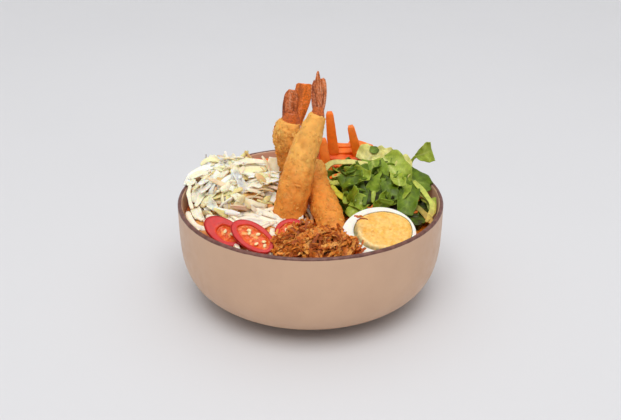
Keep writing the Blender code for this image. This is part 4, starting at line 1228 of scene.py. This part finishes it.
# root and tip as shares of the heap's box, width, colours, curl, cup, frill, outline, midrib
LETTUCE_LEAVES = (
    ((0.46, 0.70, 0.80), (0.30, 0.56, 0.58), 0.0150, LEAF, 0.5, 0.5, 0.10, FAN_LEAF, 0.3),
    ((0.47, 0.72, 0.84), (0.50, 0.50, 0.50), 0.0150, LEAF, 0.8, 0.5, 0.12, CUT_LEAF, 0.5),
    ((0.42, 0.80, 0.70), (0.50, 0.86, 0.96), 0.0160, LEAF_PALE, 0.5, 0.4, 0.10, CUT_LEAF, 0.4),
    ((0.48, 0.84, 0.84), (0.66, 0.80, 0.80), 0.0120, LEAF_PALE, 0.5, 0.5, 0.16, CUT_LEAF, 0.2),
    ((0.56, 0.80, 0.84), (0.70, 0.56, 0.56), 0.0190, LEAF_LIGHT, 0.8, 0.5, 0.14, CUT_LEAF, 0.6),
    ((0.72, 0.60, 0.50), (0.78, 0.78, 0.88), 0.0100, LEAF_PALE, 0.3, 0.5, 0.12, POINTED_LEAF, 0.2),
    ((0.68, 0.60, 0.56), (1.00, 0.62, 0.36), 0.0150, LEAF_DARK, 0.4, 0.5, 0.12, POINTED_LEAF, 0.7),
    ((0.62, 0.56, 0.60), (0.46, 0.28, 0.34), 0.0160, LEAF, 0.7, 0.6, 0.14, CUT_LEAF, 0.5),
    ((0.76, 0.52, 0.52), (0.60, 0.30, 0.34), 0.0130, LEAF_LIGHT, 0.7, 0.6, 0.14, POINTED_LEAF, 0.4),
    ((0.80, 0.48, 0.44), (0.74, 0.22, 0.28), 0.0120, LEAF_DARK, 0.7, 0.6, 0.12, CUT_LEAF, 0.4),
    ((0.94, 0.36, 0.16), (1.07, 0.36, 0.26), 0.0080, LEAF_LIGHT, 0.2, 0.5, 0.12, POINTED_LEAF, 0.3),
    ((0.39, 0.30, 0.34), (0.26, 0.18, 0.22), 0.0070, LEAF_LIGHT, 0.5, 0.5, 0.35, CUT_LEAF, 0.3),
    ((0.46, 0.84, 0.92), (0.53, 0.88, 0.98), 0.0050, LEAF_DARK, 0.3, 0.4, 0.10, POINTED_LEAF, 0.2),
)
# way points as shares of the heap's box, width, thickness, tint
LETTUCE_RIBS = (
    (((0.14, 0.54, 0.45), (0.04, 0.58, 0.54), (0.03, 0.63, 0.72), (0.12, 0.67, 0.84), (0.26, 0.66, 0.86), (0.42, 0.64, 0.84)),
     0.0042, 0.0014, LEAF_PALE[0]),
    (((0.08, 0.54, 0.50), (0.18, 0.53, 0.54), (0.29, 0.57, 0.66), (0.38, 0.62, 0.77)), 0.0032, 0.0012, LEAF_LIGHT[2]),
    (((0.10, 0.58, 0.62), (0.20, 0.58, 0.68), (0.32, 0.62, 0.78)), 0.0026, 0.0010, LEAF_PALE[1]),
    (((0.33, 0.57, 0.66), (0.34, 0.42, 0.50), (0.33, 0.26, 0.30)), 0.0044, 0.0008, LEAF_DEEP[2]),
    (((0.41, 0.57, 0.72), (0.40, 0.40, 0.54), (0.37, 0.23, 0.34)), 0.0036, 0.0008, LEAF_DARK[0]),
    (((0.26, 0.46, 0.52), (0.28, 0.36, 0.42), (0.27, 0.26, 0.30)), 0.0036, 0.0008, LEAF[0]),
    (((0.21, 0.47, 0.48), (0.22, 0.38, 0.38), (0.21, 0.30, 0.30)), 0.0040, 0.0010, LEAF_LIGHT[0]),
    (((0.09, 0.50, 0.48), (0.15, 0.42, 0.40), (0.22, 0.36, 0.34)), 0.0040, 0.0010, LEAF_LIME[0]),
    (((0.12, 0.46, 0.40), (0.18, 0.40, 0.34), (0.25, 0.36, 0.32)), 0.0032, 0.0010, LEAF_LIGHT[2]),
    (((0.84, 0.62, 0.46), (0.93, 0.42, 0.36), (0.97, 0.28, 0.24), (0.92, 0.15, 0.10)), 0.0036, 0.0012, LEAF_LIGHT[2]),
    (((0.86, 0.52, 0.32), (0.97, 0.34, 0.28), (0.95, 0.20, 0.16)), 0.0034, 0.0012, LEAF_PALE[1]),
    (((0.90, 0.44, 0.24), (1.00, 0.30, 0.22), (0.90, 0.12, 0.10)), 0.0026, 0.0010, LEAF[2]),
    (((0.70, 0.34, 0.30), (0.86, 0.26, 0.20), (0.96, 0.10, 0.06)), 0.0040, 0.0010, LEAF_DARK[0]),
)
# ends of small carrot bits as shares of the lettuce's box
LETTUCE_BITS = (
    ((0.08, 0.56, 0.62), (0.15, 0.57, 0.70)), ((0.15, 0.58, 0.68), (0.25, 0.60, 0.76)), ((0.20, 0.50, 0.52), (0.26, 0.51, 0.56)),
    ((0.23, 0.46, 0.50), (0.28, 0.46, 0.52)), ((0.76, 0.20, 0.18), (0.86, 0.25, 0.22)), ((0.79, 0.36, 0.36), (0.86, 0.33, 0.36)),
    ((0.82, 0.16, 0.10), (0.90, 0.20, 0.14)),
)


def make_lettuce():
    """Leaves, ribs and shreds over a dark core, the largest of them laid from a list."""
    node = "lettuce_heap"
    skin, rng = Skin(node), seeded(node)
    core = Shapes()
    # painted shade: a nearly black core, to darken the gaps between the leaves
    add_core(core, node, 0.0050, LEAF_DEEP[0], srgb(44, 32, 2))
    core.finish("lettuce_core", MATERIALS["lettuce"], "lettuce", [node])
    leaves = Shapes()
    for root, tip, width, colours, curl, cup, frill, outline, rib in LETTUCE_LEAVES:
        start, end = at(node, *root) + LAID_LIFT, at(node, *tip) + LAID_LIFT
        heading = (end - start) + Vector((0, 0, 0.5)) * curl * (end - start).length * 0.5
        add_leaf(leaves, start, heading, FRONT_UP, (end - start).length * 1.15, width * 1.25, rng, colours, curl, cup, frill,
                 outline, rib, 28, 21)
    for place, normal in skin.places(rng, 34, slope=-0.1, level=0.058):
        heading = (random_heading(rng, normal) + Vector((0, 0, -0.4))).normalized()
        start = place - heading * 0.006 - normal * rng.uniform(0.0012, 0.0040)
        colours = rng.choice((LEAF, LEAF, LEAF_DARK, LEAF_DARK, LEAF_DEEP, LEAF_LIGHT))
        add_leaf(leaves, start, heading, normal, rng.uniform(0.014, 0.024), rng.uniform(0.009, 0.016), rng, colours,
                 rng.uniform(0.2, 1.2), rng.uniform(0.2, 0.9), rng.uniform(0.1, 0.3), CUT_LEAF, rng.random() * 0.8)
    for place, normal in skin.places(rng, 24, slope=-0.1, level=0.058):
        heading = (random_heading(rng, normal) + Vector((0, 0, -0.6))).normalized()
        start = place - normal * rng.uniform(0.0, 0.0020)
        colours = rng.choice((LEAF, LEAF_DARK, LEAF_DARK, LEAF_DEEP, LEAF_LIGHT))
        add_leaf(leaves, start, heading, normal, rng.uniform(0.008, 0.018), rng.uniform(0.0020, 0.0040), rng, colours,
                 0.6, 0.35, 0.12, SHRED, 0.15, 12, 5)
    leaves.finish("lettuce_leaves", MATERIALS["lettuce"], "lettuce", thickness=LEAF_THICKNESS)
    ribs = Shapes()
    for row in LETTUCE_RIBS:
        add_laid_strip(ribs, node, row, rng)
    ribs.finish("lettuce_ribs", MATERIALS["lettuce"], "lettuce")
    make_bits("carrot_bits_right", "carrot", LETTUCE_BITS, node)


def make_sprig():
    """The frilled leaf on its stem."""
    node = "lettuce_sprig"
    rng = seeded(node)
    foot, neck = at(node, 0.05, 0.5, 0.0), at(node, 0.30, 0.5, 0.42)
    tip = at(node, 0.97, 0.62, 0.62)
    stem = Shapes()
    path = catmull_rom([foot - Vector((0, 0, 0.004)), foot.lerp(neck, 0.5) - Vector((0.0006, 0, 0)), neck], 14)
    sweep(stem, path, (0, 1, 0), np.linspace(0.0016, 0.0022, 14), 0.0014, LEAF_LIGHT[0], sides=10, square=1.0)
    stem.finish("sprig_stem", MATERIALS["lettuce"], "lettuce", contained=False)
    shapes = Shapes()
    heading = tip - neck
    add_leaf(shapes, neck - heading * 0.06, heading, (0, -1, 0.1), heading.length * 0.98, 0.0150, rng, LEAF_LIGHT,
             curl=0.15, cup=0.45, frill=0.16, outline=FAN_LEAF, rib=0.35, rows=30, columns=25)
    shapes.finish("sprig_leaf", MATERIALS["lettuce"], "lettuce", [node], thickness=0.0004, contained=False)


# ---------------------------------------------------------------- fried shallots

SHALLOT_TINTS = (srgb(226, 136, 48), srgb(208, 116, 36), srgb(188, 96, 28), srgb(160, 76, 20), srgb(228, 152, 70))
SHALLOT_DARK = srgb(110, 52, 14)


def shallot_tints(path, rng):
    """One shred's colours: golden brown, darker in patches."""
    colour = rng.choice(SHALLOT_TINTS)
    return mix(colour, SHALLOT_DARK, ramp(noise_at(path, 0.003, rng.uniform(0, 40)), 0.15, 0.8) * 0.5)


def add_shard(shapes, place, heading, normal, rng, size=1.0):
    """A crisp shred of shallot: flat, nearly straight, and crinkled."""
    count = 9
    length, width = rng.uniform(0.0034, 0.0085) * size, rng.uniform(0.0011, 0.0022) * size
    off = np.linspace(-0.5, 0.5, count)
    side = Vector(heading).cross(normal)
    path = np.outer(off * length, heading) + np.outer(rng.uniform(-0.4, 0.8) * length * off**2, normal)
    path = path + np.outer(rng.gauss(0, 0.5) * length * off**2, side) + np.array(place)
    path = path + 0.0005 * np.stack([noise_at(path, 0.0022, k * 7.0) for k in range(3)], -1)
    tilt = rng.gauss(0, 0.6)
    face = np.array(normal) * math.cos(tilt) + np.array(side) * math.sin(tilt)
    widths = width * (1 - 1.6 * np.abs(off) ** 2) * (1 + 0.25 * np.sin(off * rng.uniform(8, 20)))
    ribbon(shapes, path, face, widths, rng.uniform(0.0004, 0.0008), shallot_tints(path, rng), rng.uniform(-0.3, 0.6), 3)


def add_curl(shapes, place, normal, rng, size=1.0):
    """A crisp curl of shallot: part of a ring, uneven and twisted."""
    radius = rng.uniform(0.0014, 0.0030) * size
    sweep_angle = rng.uniform(1.5, 5.0)
    axis = (Vector(normal) + Vector([rng.uniform(-1, 1) for _ in range(3)])).normalized()
    side = random_heading(rng, axis)
    other = axis.cross(side)
    count = max(8, int(sweep_angle * 4))
    squash, start = rng.uniform(0.35, 1.0), rng.uniform(0, math.tau)
    turns = start + np.linspace(0, sweep_angle, count)
    out = np.outer(np.cos(turns), side) + np.outer(np.sin(turns) * squash, other)
    path = np.array(place) + out * radius + np.outer(turns * rng.uniform(-0.0010, 0.0010), axis)
    path = path + 0.00035 * np.stack([noise_at(path, 0.0018, k * 7.0) for k in range(3)], -1)
    widths = rng.uniform(0.0010, 0.0018) * size * (1 + 0.3 * np.sin(np.linspace(0, rng.uniform(4, 12), count)))
    sweep(shapes, path, out, widths, rng.uniform(0.0004, 0.0008), shallot_tints(path, rng), sides=6, square=0.6)


# places of loose shreds as shares of the egg yolk's box, size
SHALLOT_ON_EGG = (((0.07, 0.44, 1.22), 1.0), ((0.14, 0.36, 1.20), 0.8), ((0.31, 0.73, 1.33), 0.7), ((0.10, 0.40, 1.26), 0.7))
# places in front of the egg
SHALLOT_BY_EGG = ((-0.08, -0.10, 0.66), (-0.02, -0.16, 0.66), (0.04, -0.18, 0.62), (0.10, -0.20, 0.58), (-0.12, 0.0, 0.66))


def make_shallots():
    """Shreds and a few curls over a rough core, with loose ones on and beside the egg."""
    node = "shallot_heap"
    skin, rng = Skin(node), seeded(node)
    shapes = Shapes()
    add_core(shapes, node, 0.0026, srgb(168, 88, 26), SHALLOT_DARK, pitch=0.0012)
    for place, normal in skin.places(rng, 560, slope=-0.2, level=0.056):
        heading = (random_heading(rng, normal) + normal * rng.uniform(-0.2, 0.35)).normalized()
        add_shard(shapes, place + normal * rng.uniform(-0.0022, 0.0006), heading, normal, rng, 1.35)
    for place, normal in skin.places(rng, 90, slope=-0.1, level=0.057):
        add_curl(shapes, place + normal * rng.uniform(-0.0014, 0.0008), normal, rng)
    for place, normal in skin.places(rng, 200, slope=-0.2, level=0.056):
        tint = mix(rng.choice(SHALLOT_TINTS), SHALLOT_DARK, rng.uniform(0, 0.3))
        add_flake(shapes, place + normal * rng.uniform(-0.001, 0.001), normal, rng.uniform(0.0005, 0.0012), tint, rng)
    for share, size in SHALLOT_ON_EGG:
        add_shard(shapes, at("egg_yolk", *share), Vector((0.9, rng.uniform(-0.5, 0.5), 0.1)).normalized(),
                  Vector(FRONT_UP), rng, size)
    for share in SHALLOT_BY_EGG:
        for _ in range(3):
            spot = at("egg_yolk", *share) + Vector([rng.uniform(-0.002, 0.002) for _ in range(3)])
            add_shard(shapes, spot, random_heading(rng, Vector(FRONT_UP)), Vector(FRONT_UP), rng)
    shapes.finish("shallots_fried", MATERIALS["shallot"], "fried_shallots", [node], sharp=50)


# ---------------------------------------------------------------- everything


def make_prawns():
    make_crust(1, 1200, 0.06, 0.66)
    make_crust(2, 2000, 0.30, 0.84)
    make_crust(3, 1300, 0.08, 0.95)
    make_tail(1, ((0.40, 0.22, -0.03), (0.46, 0.40, 0.24)), 0.0046, [
        ((0.34, 0.34, 0.08), (0.24, 0.67, 0.74), 0.0025, ROUND_BLADE, 0.10, 0.00, -0.0003),
        ((0.56, 0.40, 0.08), (0.68, 0.80, 0.80), 0.0027, ROUND_BLADE, 0.45, 0.25, 0.0007),
        ((0.46, 0.24, 0.10), (0.42, 0.72, 0.965), 0.0025, POINTED_BLADE, 0.40, 0.20, 0.0),
    ])
    make_tail(2, ((0.28, 0.45, -0.16), (0.38, 0.50, 0.26)), 0.0068, [
        ((0.26, 0.45, -0.08), (0.38, 0.50, 0.80), 0.0052, ROUND_BLADE, 0.35, 0.10, -0.0004),
        ((0.50, 0.55, -0.06), (0.80, 0.72, 0.93), 0.0058, FAN_BLADE, 1.0, -0.20, 0.0010),
    ])
    make_tail(3, ((0.60, 0.50, 0.0), (0.55, 0.56, 0.45)), 0.0044, [
        ((0.50, 0.45, 0.15), (0.40, 0.62, 0.95), 0.0034, POINTED_BLADE, 0.5, 0.2, 0.0),
        ((0.65, 0.50, 0.15), (0.68, 0.68, 0.90), 0.0030, POINTED_BLADE, 0.6, 0.2, 0.0),
    ])


def main():
    make_camera()
    make_floor()
    make_lights()
    make_bowl()
    make_broth()
    make_noodles()
    make_cabbage()
    make_carrot_heap("carrots_back", "carrot_heap_back", BACK_STICKS, 34)
    make_carrot_heap("carrots_left", "carrot_heap_left", LEFT_STICKS, 8)
    make_standing_carrots()
    make_lettuce()
    make_sprig()
    make_shallots()
    make_egg()
    make_chilli(1, (0.86, 1.0), ((0.35, 0.3, 0.4), (-0.35, 0.1, 1.8)))
    make_chilli(2, (1.0, 1.05), (
        (-0.45, 0.35, 0.3), (-0.35, 0.1, 1.9), (0.1, 0.55, 1.0), (0.62, 0.2, 0.6), (0.35, -0.5, 1.2), (0.8, -0.15, 1.7)))
    make_chilli(3, (1.0, 1.0), ((0.1, 0.3, 0.8), (-0.4, 0.1, 1.6)))
    make_prawns()


main()
